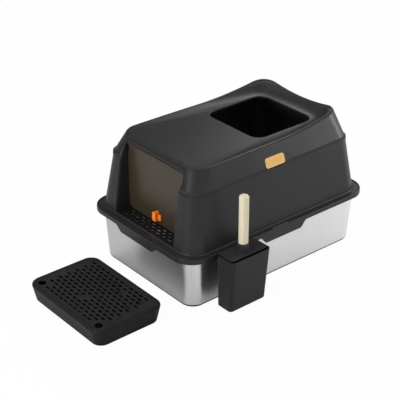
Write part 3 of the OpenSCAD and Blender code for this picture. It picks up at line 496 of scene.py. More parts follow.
def plan(size, short=0, long=0):  # a rounded rectangle [width, length, radius], anticlockwise
    x, y, r = size[0] / 2 - size[2], size[1] / 2 - size[2], size[2]
    corners = [arc(x, y, r, 0), arc(-x, y, r, 90), arc(-x, -y, r, 180), arc(x, -y, r, 270)]
    points = []
    for i, extra in enumerate((short, long, short, long)):
        points += corners[i]
        start, end = corners[i][-1], corners[(i + 1) % 4][0]
        points += [tuple(mixedAll(start, end, k / (extra + 1))) for k in range(1, extra + 1)]
    return points


def grown(size, by):
    return [size[0] + 2 * by, size[1] + 2 * by, size[2] + by]


def ring(size, z, x=0, y=0):
    return [(px + x, py + y, z) for px, py in plan(size)]


def newObject(name, vertices, faces):
    mesh = bpy.data.meshes.new(name)
    mesh.from_pydata([[c * mm for c in v] for v in vertices], [], faces)
    obj = bpy.data.objects.new(name, mesh)
    scene.collection.objects.link(obj)
    return obj


def skin(name, rings, closed=False):  # a surface through rings of equally many points
    count, n = len(rings), len(rings[0])
    faces = []
    for k in range(count if closed else count - 1):
        low, high = k * n, ((k + 1) % count) * n
        faces += [(low + i, low + (i + 1) % n, high + (i + 1) % n, high + i) for i in range(n)]
    if not closed:
        faces += [tuple(range(n - 1, -1, -1)), tuple((count - 1) * n + i for i in range(n))]
    return newObject(name, [p for r in rings for p in r], faces)


def prism(name, outline, start, end, axis="z"):  # an outline pushed along one axis
    place = {
        "z": lambda u, v, w: (u, v, w),
        "x": lambda u, v, w: (w, u, v),
        "y": lambda u, v, w: (u, w, v),
    }[axis]
    if axis == "y":
        start, end = end, start
    return skin(name, [[place(u, v, w) for u, v in outline] for w in (start, end)])


def slab(name, low, high):
    outline = [(low[0], low[1]), (high[0], low[1]), (high[0], high[1]), (low[0], high[1])]
    return prism(name, outline, low[2], high[2])


def lathe(name, profile, x=0, y=0, steps=48):  # profile of (radius, z) from the bottom up
    return skin(name, [[(px, py, z) for px, py in disc(x, y, r, steps)] for r, z in profile])


def settle(obj):  # what the modifiers make becomes the mesh
    bpy.context.view_layer.update()
    made = obj.evaluated_get(bpy.context.evaluated_depsgraph_get())
    mesh, old = bpy.data.meshes.new_from_object(made), obj.data
    obj.modifiers.clear()
    obj.data = mesh
    bpy.data.meshes.remove(old)
    return obj


def carve(obj, how, *tools):
    for tool in tools:
        cut = obj.modifiers.new("carve", "BOOLEAN")
        cut.operation, cut.solver, cut.object = how, "EXACT", tool
        settle(obj)
        bpy.data.objects.remove(tool)
    return obj


def edited(obj, change):  # one change to an object's own mesh
    work = bmesh.new()
    work.from_mesh(obj.data)
    change(work)
    work.to_mesh(obj.data)
    work.free()
    return obj


def toOtherSide(work, verts, faces):
    for v in verts:
        v.co.x = -v.co.x
    bmesh.ops.reverse_faces(work, faces=faces)


def mirrored(obj):  # the same shape on the other side of the box, in one object
    def addTwin(work):
        twin = bmesh.ops.duplicate(work, geom=work.verts[:] + work.edges[:] + work.faces[:])["geom"]
        verts = [g for g in twin if isinstance(g, bmesh.types.BMVert)]
        toOtherSide(work, verts, [g for g in twin if isinstance(g, bmesh.types.BMFace)])

    return edited(obj, addTwin)


def flipped(obj):  # the shape itself moved to the other side
    return edited(obj, lambda work: toOtherSide(work, work.verts, work.faces[:]))


def fromNode(node, name):  # a welded copy of a CAD node, with whole faces in place of triangles
    def simplify(work):
        bmesh.ops.remove_doubles(work, verts=work.verts[:], dist=seams["weld"] * mm)
        angle = math.radians(seams["flatWithin"])
        bmesh.ops.dissolve_limit(work, angle_limit=angle, verts=work.verts[:], edges=work.edges[:])

    obj = bpy.data.objects.new(name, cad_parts[node].data.copy())
    scene.collection.objects.link(obj)
    edited(obj, simplify)
    obj.data.materials.clear()
    return obj


def cleaned(work):
    bmesh.ops.remove_doubles(work, verts=work.verts[:], dist=seams["weld"] * mm)
    bmesh.ops.dissolve_degenerate(work, dist=seams["speck"] * mm, edges=work.edges[:])


def deliver(obj, body, look, nodes=(), soften=0.5, segments=3, sharp=38):  # edges, shading, finish and body
    if soften:
        edited(obj, cleaned)
        bevel = obj.modifiers.new("soften", "BEVEL")
        bevel.width, bevel.segments = soften * mm, segments
        bevel.limit_method, bevel.angle_limit = "ANGLE", math.radians(seams["softenFrom"])
        bevel.use_clamp_overlap, bevel.miter_outer = True, "MITER_ARC"
        settle(obj)
    obj.data.shade_smooth()
    obj.data.set_sharp_from_angle(angle=math.radians(sharp))
    even = obj.modifiers.new("even", "WEIGHTED_NORMAL")
    even.keep_sharp, even.weight = True, seams["evenWeight"]
    settle(obj)
    obj.data.name = obj.name
    obj.data.materials.clear()
    obj.data.materials.append(finish[look])
    for face in obj.data.polygons:
        face.material_index = 0
    if nodes:
        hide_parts(*nodes)
    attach(obj, body)
    return obj


def deliverCopies(pieces):  # pieces that keep their CAD node's shape
    for node, (name, body, look, soften, segments) in pieces.items():
        deliver(fromNode(node, name), body, look, [node], soften, segments)


# Geometry node trees for what repeats


def moved(tree, shape, offset):
    return addNode(tree, "GeometryNodeSetPosition", {"Geometry": shape, "Offset": offset}).outputs[0]


def spread(tree, spots, part, **turn):  # a copy of the part at each spot
    values = {"Points": spots, "Instance": part, **turn}
    return addNode(tree, "GeometryNodeInstanceOnPoints", values).outputs[0]


def closeTree(tree, given, out, shape):  # a plain mesh with its finish
    real = addNode(tree, "GeometryNodeRealizeInstances", {0: shape}).outputs[0]
    coat = addNode(tree, "GeometryNodeSetMaterial", {"Geometry": real, "Material": given["Finish"]})
    feed(tree, coat.outputs[0], out["Geometry"])


def slotSolid(tree, given):  # one slot as a solid, half above and half below the face
    outline = addNode(tree, "GeometryNodeCurvePrimitiveQuadrilateral", {
        "Width": given["SlotLength"], "Height": given["SlotWidth"]})
    ends = addNode(tree, "GeometryNodeFilletCurve", {
        "Curve": outline.outputs[0], "Radius": sums(tree, "MULTIPLY", given["SlotWidth"], 0.499), "Count": 4},
        mode="POLY")
    sheet = addNode(tree, "GeometryNodeFillCurve", {"Curve": ends.outputs[0]}).outputs[0]
    up = addNode(tree, "ShaderNodeCombineXYZ", {"Z": given["Depth"]}).outputs[0]
    push = addNode(tree, "GeometryNodeExtrudeMesh", {"Mesh": sheet, "Offset": up, "Individual": False})
    under = addNode(tree, "GeometryNodeFlipFaces", {0: sheet})
    solid = addNode(tree, "GeometryNodeJoinGeometry")
    for half in (push.outputs["Mesh"], under.outputs[0]):
        tree.links.new(half, solid.inputs[0])
    weld = addNode(tree, "GeometryNodeMergeByDistance", {"Geometry": solid.outputs[0], "Distance": 0.000001})
    down = addNode(tree, "ShaderNodeVectorMath", {0: up, 1: (0.5, 0.5, -0.5)}, operation="MULTIPLY")
    return moved(tree, weld.outputs[0], down.outputs[0])


def slottedPlateTree():  # staggered rows of round-ended slots cut through a plate
    tree, given, out, sockets = newGroup("slottedPlate", "GeometryNodeTree", {
        "Geometry": "Geometry", "Width": 0.2, "Length": 0.1, "PitchX": 0.02, "PitchY": 0.01,
        "SlotLength": 0.014, "SlotWidth": 0.0044, "Depth": 0.02, "Centre": (0, 0, 0), "KeepX": 0.0,
        "KeepY": 0.0, "KeepWidth": 0.0, "KeepLength": 0.0, "BothSides": 0.0, "Finish": "Material"},
        {"Geometry": "Geometry"})

    def plus(a, b):
        return sums(tree, "ADD", a, b)

    def less(a, b):
        return sums(tree, "SUBTRACT", a, b)

    def times(a, b):
        return sums(tree, "MULTIPLY", a, b)

    def over(a, b):
        return sums(tree, "DIVIDE", a, b)

    def near(way, centre, keep, slot):
        reach = times(plus(given[keep], given[slot]), 0.5)
        return sums(tree, "LESS_THAN", sums(tree, "ABSOLUTE", less(way, given[centre])), reach)

    pitchX, pitchY = given["PitchX"], given["PitchY"]
    room = less(less(given["Width"], given["SlotLength"]), times(pitchX, 0.5))
    columns = sums(tree, "FLOOR", over(room, pitchX))
    rows = sums(tree, "FLOOR", over(less(given["Length"], given["SlotWidth"]), pitchY))
    spanX, spanY = times(columns, pitchX), times(rows, pitchY)
    grid = addNode(tree, "GeometryNodeMeshGrid", {
        "Size X": spanX, "Size Y": spanY, "Vertices X": plus(columns, 1.0), "Vertices Y": plus(rows, 1.0)})
    place = addNode(tree, "GeometryNodeInputPosition").outputs[0]
    apart = addNode(tree, "ShaderNodeSeparateXYZ", {0: place}).outputs
    row = sums(tree, "ROUND", over(plus(apart["Y"], times(spanY, 0.5)), pitchY))
    side = less(times(sums(tree, "MODULO", row, 2.0), 2.0), 1.0)
    sideways = addNode(tree, "ShaderNodeCombineXYZ", {"X": times(side, times(pitchX, 0.25))}).outputs[0]
    stagger = moved(tree, grid.outputs["Mesh"], sideways)
    across = between(tree, given["BothSides"], apart["X"], sums(tree, "ABSOLUTE", apart["X"]))
    kept = times(near(across, "KeepX", "KeepWidth", "SlotLength"),
                 near(apart["Y"], "KeepY", "KeepLength", "SlotWidth"))
    removed = {"Geometry": stagger, "Selection": kept}
    thin = addNode(tree, "GeometryNodeDeleteGeometry", removed, domain="POINT").outputs[0]
    spots = moved(tree, thin, given["Centre"])
    shapes = {"Mesh 1": given["Geometry"], "Mesh 2": spread(tree, spots, slotSolid(tree, given))}
    cut = addNode(tree, "GeometryNodeMeshBoolean", shapes, operation="DIFFERENCE")
    closeTree(tree, given, out, cut.outputs["Mesh"])
    return tree, sockets


def copiesTree():  # one part copied to each point
    tree, given, out, sockets = newGroup("copiesOnPoints", "GeometryNodeTree", {
        "Geometry": "Geometry", "Part": "Object", "Turn": (0, 0, 0), "Finish": "Material"},
        {"Geometry": "Geometry"})
    part = addNode(tree, "GeometryNodeObjectInfo", {"Object": given["Part"]}).outputs["Geometry"]
    turn = addNode(tree, "FunctionNodeEulerToRotation", {0: given["Turn"]}).outputs[0]
    closeTree(tree, given, out, spread(tree, given["Geometry"], part, Rotation=turn))
    return tree, sockets


def coilTree():  # a coil spring along X at each point
    tree, given, out, sockets = newGroup("coilSpring", "GeometryNodeTree", {
        "Geometry": "Geometry", "Turns": 4.0, "Radius": 0.0035, "Length": 0.01, "Wire": 0.00045,
        "Finish": "Material"}, {"Geometry": "Geometry"})
    spiral = addNode(tree, "GeometryNodeCurveSpiral", {
        "Resolution": 22, "Rotations": given["Turns"], "Start Radius": given["Radius"],
        "End Radius": given["Radius"], "Height": given["Length"]})
    section = addNode(tree, "GeometryNodeCurvePrimitiveCircle", {"Resolution": 8, "Radius": given["Wire"]})
    wire = addNode(tree, "GeometryNodeCurveToMesh", {
        "Curve": spiral.outputs[0], "Profile Curve": section.outputs[0], "Fill Caps": True})
    lying = addNode(tree, "GeometryNodeTransform", {
        "Geometry": wire.outputs[0], "Rotation": (0, math.pi / 2, 0)})
    closeTree(tree, given, out, spread(tree, given["Geometry"], lying.outputs[0]))
    return tree, sockets


slottedPlate, copiesOnPoints, coilSpring = slottedPlateTree(), copiesTree(), coilTree()


def grow(obj, tree, **values):  # runs one of the trees above on an object
    made = obj.modifiers.new("grow", "NODES")
    made.node_group = tree[0]
    for key, value in values.items():
        made[tree[1][key].identifier] = value
    return settle(obj)


def points(name, places):
    return newObject(name, places, [])


print("node trees ready")

# The pan, and the hood's sizes, which the pan follows

pan = {
    "inset": 19, "draftSide": 6, "draftEnd": 7.5, "floorBend": 10, "steel": 0.8, "rimBend": 4, "roll": 2.6,
    "rollGap": 3, "cornerLess": 2,
}
hood = {  # plans are width, length and corner radius, tabs are half widths above and below, and drop
    "flange": [400, 600, 57], "lipBottom": 137, "lipHeight": 12, "lipRound": 1.6, "flangeThick": 3,
    "wall": 2.6, "foot": [370, 555, 43], "fillet": 4.2, "seam": [332, 516, 40], "lowerHeight": 144.5,
    "upperHeight": 53, "roofSide": 16.5, "roofFront": 25, "roofBack": 17.5, "roofTaper": 12, "earRise": 25,
    "earStart": 20, "earDip": 17, "earCurve": 1.9, "bead": 1.6, "beadHeight": 4.4, "beadLead": 1.6,
    "beadStraight": 2.6, "beadRound": 1.2, "channelOut": 3.2, "channelIn": 8.6, "channelDepth": 1.8,
    "channelSlope": 0.6, "sideTab": (77, 55, 18), "endTab": (84, 57, 15),
    "snapRidge": {"radius": 2, "half": 30}, "window": {"wide": 6.4, "front": -31.5, "back": 22.5},
}
seat, slip = 0.3, 0.4  # gaps where pieces rest on, and slide in, each other
flangeZ = hood["lipBottom"] + hood["lipHeight"]
seamZ = flangeZ + hood["lowerHeight"]
roofZ = seamZ + hood["upperHeight"]
footZ = flangeZ + hood["fillet"]


def bend(size, z, radius, start, end, steps):
    turns = [mixed(start, end, i / steps) for i in range(steps + 1)]
    return swung(turns, lambda c, s: ring(grown(size, radius * c), z + radius * s))


def buildPan():
    steel, r1, r2, r3 = pan["steel"], pan["floorBend"], pan["rimBend"], pan["roll"]
    mouth = grown(hood["flange"], -pan["inset"])
    base = [mouth[0] - 2 * pan["draftSide"], mouth[1] - 2 * pan["draftEnd"], mouth[2] - pan["cornerLess"]]
    rimZ = flangeZ - hood["flangeThick"] - seat
    floorAxis, rimAxis = grown(base, -r1), grown(mouth, r2)
    rimAxisZ, rollZ = rimZ - steel - r2, rimZ - r3
    rollAxis = grown(hood["flange"], -hood["wall"] - pan["rollGap"] - r3)
    rings = bend(floorAxis, r1, r1, -90, 0, 10) + bend(rimAxis, rimAxisZ, r2, 180, 90, 6)
    rings += bend(rollAxis, rollZ, r3 - steel, 90, -90, 8) + bend(rollAxis, rollZ, r3, -90, 90, 8)
    rings += bend(rimAxis, rimAxisZ, r2 + steel, 90, 180, 6) + bend(floorAxis, r1, r1 - steel, 0, -90, 10)
    shell = skin("steel_pan", rings)
    deliver(shell, "pan", "brushedSteel", ["litter_pan"], soften=0)


buildPan()
print("pan built")

# The hood's walls and its door

door = {
    "width": 224, "sill": 1.5, "head": 13.5, "corner": 18, "flare": 3.5, "flareDepth": 10, "cheek": 2.6,
    "hingeSetback": 67, "hingeDrop": 7, "pin": 2, "pinPlay": 0.08, "beamWall": 1.7, "beamGap": 1.2,
    "bracket": 15, "cutIn": 24, "cutOut": 8,
}
tongue = {"height": 6.5, "thick": 1.9, "foot": 12}
sillZ = flangeZ + door["sill"]
doorTopZ = roofZ - door["head"]
hingeY = -hood["flange"][1] / 2 + door["hingeSetback"]
hingeZ = doorTopZ - door["hingeDrop"]
edgeBackY = hingeY - (door["pin"] + door["beamWall"]) - door["beamGap"]
seamFrontY = -hood["seam"][1] / 2
cheekX, bracketY = door["width"] / 2, hingeY + door["bracket"]


def wallPlan(z):
    return mixedAll(hood["foot"], hood["seam"], (z - footZ) / (seamZ - footZ))


def frontY(z):
    if z < seamZ:
        return -wallPlan(z)[1] / 2
    return seamFrontY + hood["roofFront"] * (z - seamZ) / hood["upperHeight"]


def doorRing(wider, depth, back=edgeBackY):  # the doorway's outline, so deep behind the wall's face
    x, r, top = cheekX + wider, door["corner"] + wider, doorTopZ + wider
    outline = [(-x, sillZ), (x, sillZ), (x, seamZ)]
    outline += arc(x - r, top - r, r, 0) + arc(r - x, top - r, r, 90) + [(-x, seamZ)]
    return [(px, min(frontY(pz) + depth, back), pz) for px, pz in outline]


def doorCut():
    flare, depth = door["flare"], door["flareDepth"]
    rings = [doorRing(0, door["cutIn"], 0), doorRing(0, depth)]
    rings += swung(range(15, 91, 15), lambda c, s: doorRing(flare * (1 - c), depth * (1 - s)))
    return skin("doorCut", rings + [doorRing(flare, -door["cutOut"])])


def doorSurround(low, high):  # the moulded return behind the door's edge
    inner, outer = door["cheek"], door["cheek"] + door["flare"]
    shape = skin("surround", [doorRing(inner, door["flareDepth"]), doorRing(outer, 1)])
    return carve(shape, "INTERSECT", slab("part", (-200, -300, low), (200, 300, high)))


def tabOutline(top, bottom, height):
    low, steps = hood["lipBottom"], 16
    side = []
    for i in range(steps + 1):  # an S from the lip down to the tab's foot
        drop = height * (1 - math.cos(math.pi * i / steps)) / 2
        side.append((mixed(top, bottom, i / steps), low - drop))
    return [(-top, low + 2)] + [(-u, v) for u, v in side] + side[::-1] + [(top, low + 2)]


pedal = {
    "thick": 2.6, "rim": 7, "shelf": 2.4, "shelfWidth": 6, "length": 68, "drop": 1.3, "setIn": 2,
    "sideGap": 0.4, "webOut": 1.4, "web": 2, "frontShelf": 8,
}
pedalTop = sillZ - pedal["drop"]
pedalFront = frontY(footZ) + hood["wall"] + pedal["setIn"]
pedalBack = hingeY + pedal["length"]
shelfZ = pedalTop - pedal["rim"] - seat
latch = {
    "y": -1, "length": 60, "height": 23.5, "gap": 0.9, "lift": 2.4, "catchLength": 44, "catchDepth": 2.6,
    "catchDrop": 5, "catchEdge": 1.4, "flange": 3, "plate": 1.8, "cover": 2.2, "spring": 11, "travel": 4,
    "springRadius": 4, "wire": 0.9, "bossRadius": 4.4, "screw": 1.5, "screwHead": 2.9, "screwGap": 22,
    "corner": 5.5, "plateGap": 1.6, "ear": 3.4, "room": {"beside": 6, "above": 9, "from": 145, "to": 190},
    "cross": {"top": -2.4, "floor": -1.1, "arm": 2, "half": 0.4},
}
catchZ = seamZ - latch["catchDrop"]
catchX = hood["seam"][0] / 2 - hood["wall"] - slip - tongue["thick"]


def lowerShell():
    flange, foot, wall = hood["flange"], hood["foot"], hood["wall"]
    out, inn, deep = hood["channelOut"], hood["channelIn"], hood["channelDepth"]

    def wallRing(d, z):
        return ring(grown(wallPlan(z), d), z)

    inner = grown(hood["seam"], -wall - slip)
    lean = tongue["height"] / hood["upperHeight"]
    top = [inner[0] - 2 * (hood["roofSide"] + hood["roofTaper"]) * lean,
           inner[1] - 2 * max(hood["roofFront"], hood["roofBack"]) * lean, inner[2] - 2]
    b, bh = hood["bead"], hood["beadHeight"]
    lip, fillet, slope, r = hood["lipRound"], hood["fillet"], hood["channelSlope"], hood["beadRound"]
    rings = [ring(flange, hood["lipBottom"])]
    rings += swung(range(0, 91, 15),
                   lambda c, s: ring(grown(flange, -lip * (1 - c)), flangeZ - lip * (1 - s)))
    rings += [ring(grown(flange, -out), flangeZ), ring(grown(flange, -out - slope), flangeZ - deep),
              ring(grown(flange, -inn + slope), flangeZ - deep), ring(grown(flange, -inn), flangeZ)]
    rings += swung(range(0, 91, 15), lambda c, s: ring(grown(foot, fillet * (1 - s)), footZ - fillet * c))
    beadLow, beadHigh = seamZ - seat - bh - hood["beadLead"], seamZ - seat
    rings += [wallRing(0, beadLow)]
    for i in range(1, 9):  # the bead swells out in an S
        t = i / 8
        swell = b * (1 - math.cos(math.pi * t)) / 2
        rings.append(wallRing(swell, mixed(beadLow, beadHigh - hood["beadStraight"], t)))
    rings += swung(range(0, 91, 18), lambda c, s: wallRing(b - r * (1 - c), beadHigh - r * (1 - s)))
    thick, high, low, under = tongue["thick"], tongue["height"], tongue["foot"], flangeZ - hood["flangeThick"]
    rings += [ring(inner, seamZ - seat), ring(top, seamZ + high), ring(grown(top, -thick), seamZ + high),
              ring(grown(inner, -thick), seamZ - seat), ring(grown(inner, -thick), seamZ - low + 4),
              wallRing(-wall, seamZ - low), wallRing(-wall, footZ), ring(grown(foot, -wall), under),
              ring(grown(flange, -wall), under), ring(grown(flange, -wall), hood["lipBottom"])]
    return skin("lower_moulding", rings, closed=True)


def buildLowerHood():
    shell = lowerShell()
    w, endY, wall = hood["flange"][0] / 2, hood["flange"][1] / 2, hood["wall"]
    sideTab, endTab = tabOutline(*hood["sideTab"]), tabOutline(*hood["endTab"])
    carve(shell, "UNION", mirrored(prism("sideTabs", sideTab, w - wall, w - 0.02, "x")),
          prism("frontTab", endTab, -endY + 0.02, -endY + wall, "y"),
          prism("backTab", endTab, endY - wall, endY - 0.02, "y"))
    snap = hood["snapRidge"]
    ridge = disc(w - wall, hood["lipBottom"] + 1, snap["radius"], 20)
    footY = frontY(footZ)
    lowShelf, underFlange, seamLow = shelfZ - pedal["shelf"], flangeZ - hood["flangeThick"], seamZ - seat
    cheek = [(footY + 4, lowShelf), (pedalBack, lowShelf), (pedalBack, pedalTop), (bracketY, pedalTop),
             (bracketY - 6, pedalTop + 5), (bracketY - 6, seamLow), (seamFrontY + 1, seamLow),
             (footY + 1, footZ), (footY + 4, underFlange)]
    shelfX, shelfY = cheekX - pedal["shelfWidth"], footY + wall - pedal["webOut"]
    deep, edge, reach = latch["catchDepth"], latch["catchEdge"], latch["catchLength"] / 2
    ledge = [(catchX - deep, catchZ), (catchX + 0.5, catchZ - deep),
             (catchX + 0.5, catchZ + edge + deep), (catchX - deep, catchZ + edge)]
    carve(shell, "UNION",
          mirrored(prism("ridges", ridge, -snap["half"], snap["half"], "y")),
          mirrored(prism("cheeks", cheek, cheekX, cheekX + door["cheek"], "x")),
          mirrored(slab("shelves", (shelfX, footY + wall + 1, lowShelf), (cheekX + 1, pedalBack, shelfZ))),
          slab("frontShelf", (-cheekX, shelfY, lowShelf), (cheekX, shelfY + pedal["frontShelf"], shelfZ)),
          slab("frontWeb", (-cheekX, shelfY, lowShelf), (cheekX, shelfY + pedal["web"], underFlange + 0.6)),
          mirrored(prism("ledges", ledge, latch["y"] - reach, latch["y"] + reach, "y")),
          doorSurround(0, seamLow))
    slotX, window, room = w - hood["channelOut"], hood["window"], latch["room"]
    gapY = latch["length"] / 2 + room["beside"]
    carve(shell, "DIFFERENCE", doorCut(),
          mirrored(slab("windows", (slotX - window["wide"], window["front"], flangeZ - 5),
                        (slotX, window["back"], flangeZ + 1))),
          mirrored(slab("tongueGaps", (room["from"], latch["y"] - gapY, seamLow),
                        (room["to"], latch["y"] + gapY, seamZ + room["above"]))),
          slab("aboveSeam", (-cheekX - 10, seamFrontY - 5, seamLow),
               (cheekX + 10, seamFrontY + 35, seamZ + 20)))
    deliver(shell, "hood_base", "hoodPlastic", ["lower_hood"], soften=0.45, segments=2)


buildLowerHood()
print("lower hood built")

# The upper hood

hatch = {
    "size": [196, 191, 30], "y": 94.4, "sink": 6.5, "collar": 4.5, "curve": 2.2, "round": 1.4,
    "edgeInset": 5.5,
}
hatchZ = roofZ - hatch["sink"]
roofBackY = hood["seam"][1] / 2 - hood["roofBack"]
roofBackWidth = hood["seam"][0] - 2 * hood["roofSide"] - 2 * hood["roofTaper"]


def finePlan(size):  # an outline with more points along its edges
    return plan(size, edgeStretch["short"], edgeStretch["long"])


def roofPlan(share, inset):
    w = hood["seam"][0] - 2 * hood["roofSide"] * share - 2 * inset
    l = hood["seam"][1] - (hood["roofFront"] + hood["roofBack"]) * share - 2 * inset
    middle = (hood["roofFront"] - hood["roofBack"]) * share / 2
    outline = finePlan([w, l, hood["seam"][2] + 8 * share - inset])
    taper = hood["roofTaper"] * share
    return [(x * (1 - taper * (y / l + 0.5) ** 2 * 2 / w), y + middle) for x, y in outline]


def edgeHeight(x, y):
    rise = max(0, (y - hood["earStart"]) / (roofBackY - hood["earStart"])) ** hood["earCurve"]
    middle = max(0, 1 - (2 * x / roofBackWidth) ** 2)
    return roofZ + hood["earRise"] * rise - hood["earDip"] * rise ** 2 * middle


edgeHeights = [edgeHeight(x, y) for x, y in roofPlan(1, 0)]
hatchOutline = finePlan(hatch["size"])


def roofRing(share, inset, lift=0):
    return [(x, y, mixed(seamZ, z, share) + lift) for (x, y), z in zip(roofPlan(share, inset), edgeHeights)]


def dishRing(share, inset, lift=0):
    rings = []
    for (hx, hy), outer, z in zip(hatchOutline, roofPlan(1, inset), edgeHeights):
        x, y = mixedAll((hx, hy + hatch["y"]), outer, share)
        rings.append((x, y, mixed(hatchZ, z, share ** hatch["curve"]) + lift))
    return rings


def hatchRing(wider, z):
    return [(x, y + hatch["y"], z) for x, y in finePlan(grown(hatch["size"], wider))]


def seamRing(wider, z):
    return [(x, y, z) for x, y in finePlan(grown(hood["seam"], wider))]


def curved(rings, steps=3):  # a smooth curve through rings, with more of them
    more, last = [], len(rings) - 2
    for k in range(last + 1):
        a, b = rings[k], rings[k + 1]
        before, after = rings[max(k - 1, 0)], rings[min(k + 2, len(rings) - 1)]
        for i in range(steps):
            t = i / steps
            row = []
            for p0, p1, p2, p3 in zip(before, a, b, after):
                d1, d2, d3 = (max(math.dist(*pair), 1e-6) for pair in ((p0, p1), (p1, p2), (p2, p3)))
                point = []
                for c0, c1, c2, c3 in zip(p0, p1, p2, p3):
                    step0, step1, step2 = c1 - c0, c2 - c1, c3 - c2
                    m1 = step1 if k == 0 else (step0 / d1 * d2 + step1 / d2 * d1) / (d1 + d2) * d2
                    m2 = step1 if k == last else (step1 / d2 * d3 + step2 / d3 * d2) / (d2 + d3) * d2
                    point.append((2 * t**3 - 3 * t**2 + 1) * c1 + (t**3 - 2 * t**2 + t) * m1
                                 + (3 * t**2 - 2 * t**3) * c2 + (t**3 - t**2) * m2)
                row.append(tuple(point))
            more.append(row)
    return more + [rings[-1]]


def upperShell():
    inset, wall, b, r = hatch["edgeInset"], hood["wall"], hood["bead"], hood["beadRound"]
    rings = swung(range(90, -1, -18), lambda c, s: seamRing(b - r * (1 - c), seamZ + r * (1 - s)))
    rings += curved([seamRing(b - 0.1, seamZ + 3), roofRing(0.1, -0.35), roofRing(0.135, 0)], 3)
    rings += [roofRing(share, 0) for share in (0.2, 0.4, 0.6, 0.8)]
    edge = [roofRing(0.92, 0), roofRing(0.96, 0.5), roofRing(1, 2.2, -0.5)]
    rings += curved(edge + [dishRing(1, inset, -0.16), dishRing(0.94, inset)], 4)
    rings += [dishRing(t, inset) for t in (0.88, 0.81, 0.74, 0.66, 0.58, 0.5, 0.4, 0.3, 0.2, 0.1, 0.03)]
    r = hatch["round"]
    rings += swung(range(90, -1, -15), lambda c, s: hatchRing(r * (1 - c), hatchZ - r * (1 - s)))
    rings += [hatchRing(0, hatchZ - hatch["collar"]), hatchRing(wall, hatchZ - hatch["collar"]),
              hatchRing(wall, hatchZ - wall - 0.6)]
    rings += [dishRing(t, inset + wall, -wall) for t in (0.1, 0.2, 0.3, 0.4, 0.5, 0.6, 0.75, 0.88, 1)]
    rings += [roofRing(t, wall) for t in (0.88, 0.7, 0.4, 0.12)] + [seamRing(-wall, seamZ)]
    return skin("upper_moulding", rings, closed=True)


latchShare = (latch["y"] - seamFrontY - hood["roofFront"]) / (roofBackY - seamFrontY - hood["roofFront"])
latchLean = (hood["roofSide"] + hood["roofTaper"] * latchShare ** 2) / hood["upperHeight"]
latchZ = seamZ + latch["lift"] + latch["height"] / 2


def sideX(z):
    return hood["seam"][0] / 2 - (z - seamZ) * latchLean


latchTop = latchZ + latch["height"] / 2 + latch["flange"]
plateX = sideX(latchTop) - hood["wall"] - latch["plateGap"] - latch["plate"]
coverX = plateX - latch["spring"] - latch["cover"]
earX = plateX - latch["ear"]
screwSpan = latch["length"] + 2 * latch["flange"] + latch["screwGap"]


def buildUpperHood():
    shell = upperShell()
    low, high = seamZ + seat, roofZ - hood["wall"]
    plate = [(seamFrontY + 4, low), (bracketY, low), (bracketY, high), (frontY(high) + 1.3, high)]
    bracket = prism("brackets", plate, cheekX, cheekX + door["cheek"], "x")
    pinHole = disc(hingeY, hingeZ, door["pin"] + door["pinPlay"], 24)
    carve(bracket, "DIFFERENCE", prism("pinHole", pinHole, cheekX - 2, cheekX + 6, "x"))
    carve(shell, "UNION", mirrored(bracket), doorSurround(seamZ, 400))
    for s in (-1, 1):
        y, foot = latch["y"] + s * screwSpan / 2, earX + latch["cover"]
        boss = prism("bosses", disc(y, latchZ, latch["bossRadius"], 28), foot, sideX(latchZ) - 1, "x")
        carve(boss, "DIFFERENCE", prism("hole", disc(y, latchZ, latch["screw"], 16), foot - 1, foot + 9, "x"))
        carve(shell, "UNION", mirrored(boss))
    gap = latch["gap"]
    button = plan(grown([latch["length"], latch["height"], latch["corner"]], gap))
    window = [(y + latch["y"], z + latchZ) for y, z in button]
    carve(shell, "DIFFERENCE", doorCut(),
          mirrored(prism("windows", window, plateX + latch["plate"], hood["seam"][0] / 2 + 10, "x")))
    deliver(shell, "lid", "hoodPlastic", ["upper_hood"], soften=0.45, segments=2)


buildUpperHood()
print("upper hood built")

# Flap, lock and pedal grid

slotRule = {"length": 14, "width": 5.6}
lock = {"x": 4, "bolt": 14, "clip": 2.2, "border": 4.2, "playX": 2, "playY": 1.2}
pedalGrille = {
    "edgeX": 16, "edgeY": 14, "pitchX": 21, "pitchY": 10.5, "rimThick": 2.2, "corner": 6, "keep": 9,
}
doorPieces = {  # CAD node: piece, body, finish, edge softness, steps in it
    "entry_flap": ("flap_panel", "flap", "smokedPanel", 0.5, 3),
    "flap_pins": ("hinge_pins", "flap", "platedSteel", 0.3, 2),
    "flap_lock": ("lock_slider", "lock", "orangePlastic", 1.1, 4),
    "lock_clip": ("lock_back_clip", "lock", "orangePlastic", 0.5, 3),
}


def cutSlots(plate, look, both, centre, **sizes):  # centre and sizes in millimetres
    places = {key: size * mm for key, size in sizes.items()}
    grow(plate, slottedPlate, SlotLength=slotRule["length"] * mm, SlotWidth=slotRule["width"] * mm,
         Centre=[size * mm for size in centre], BothSides=both, Finish=finish[look], **places)


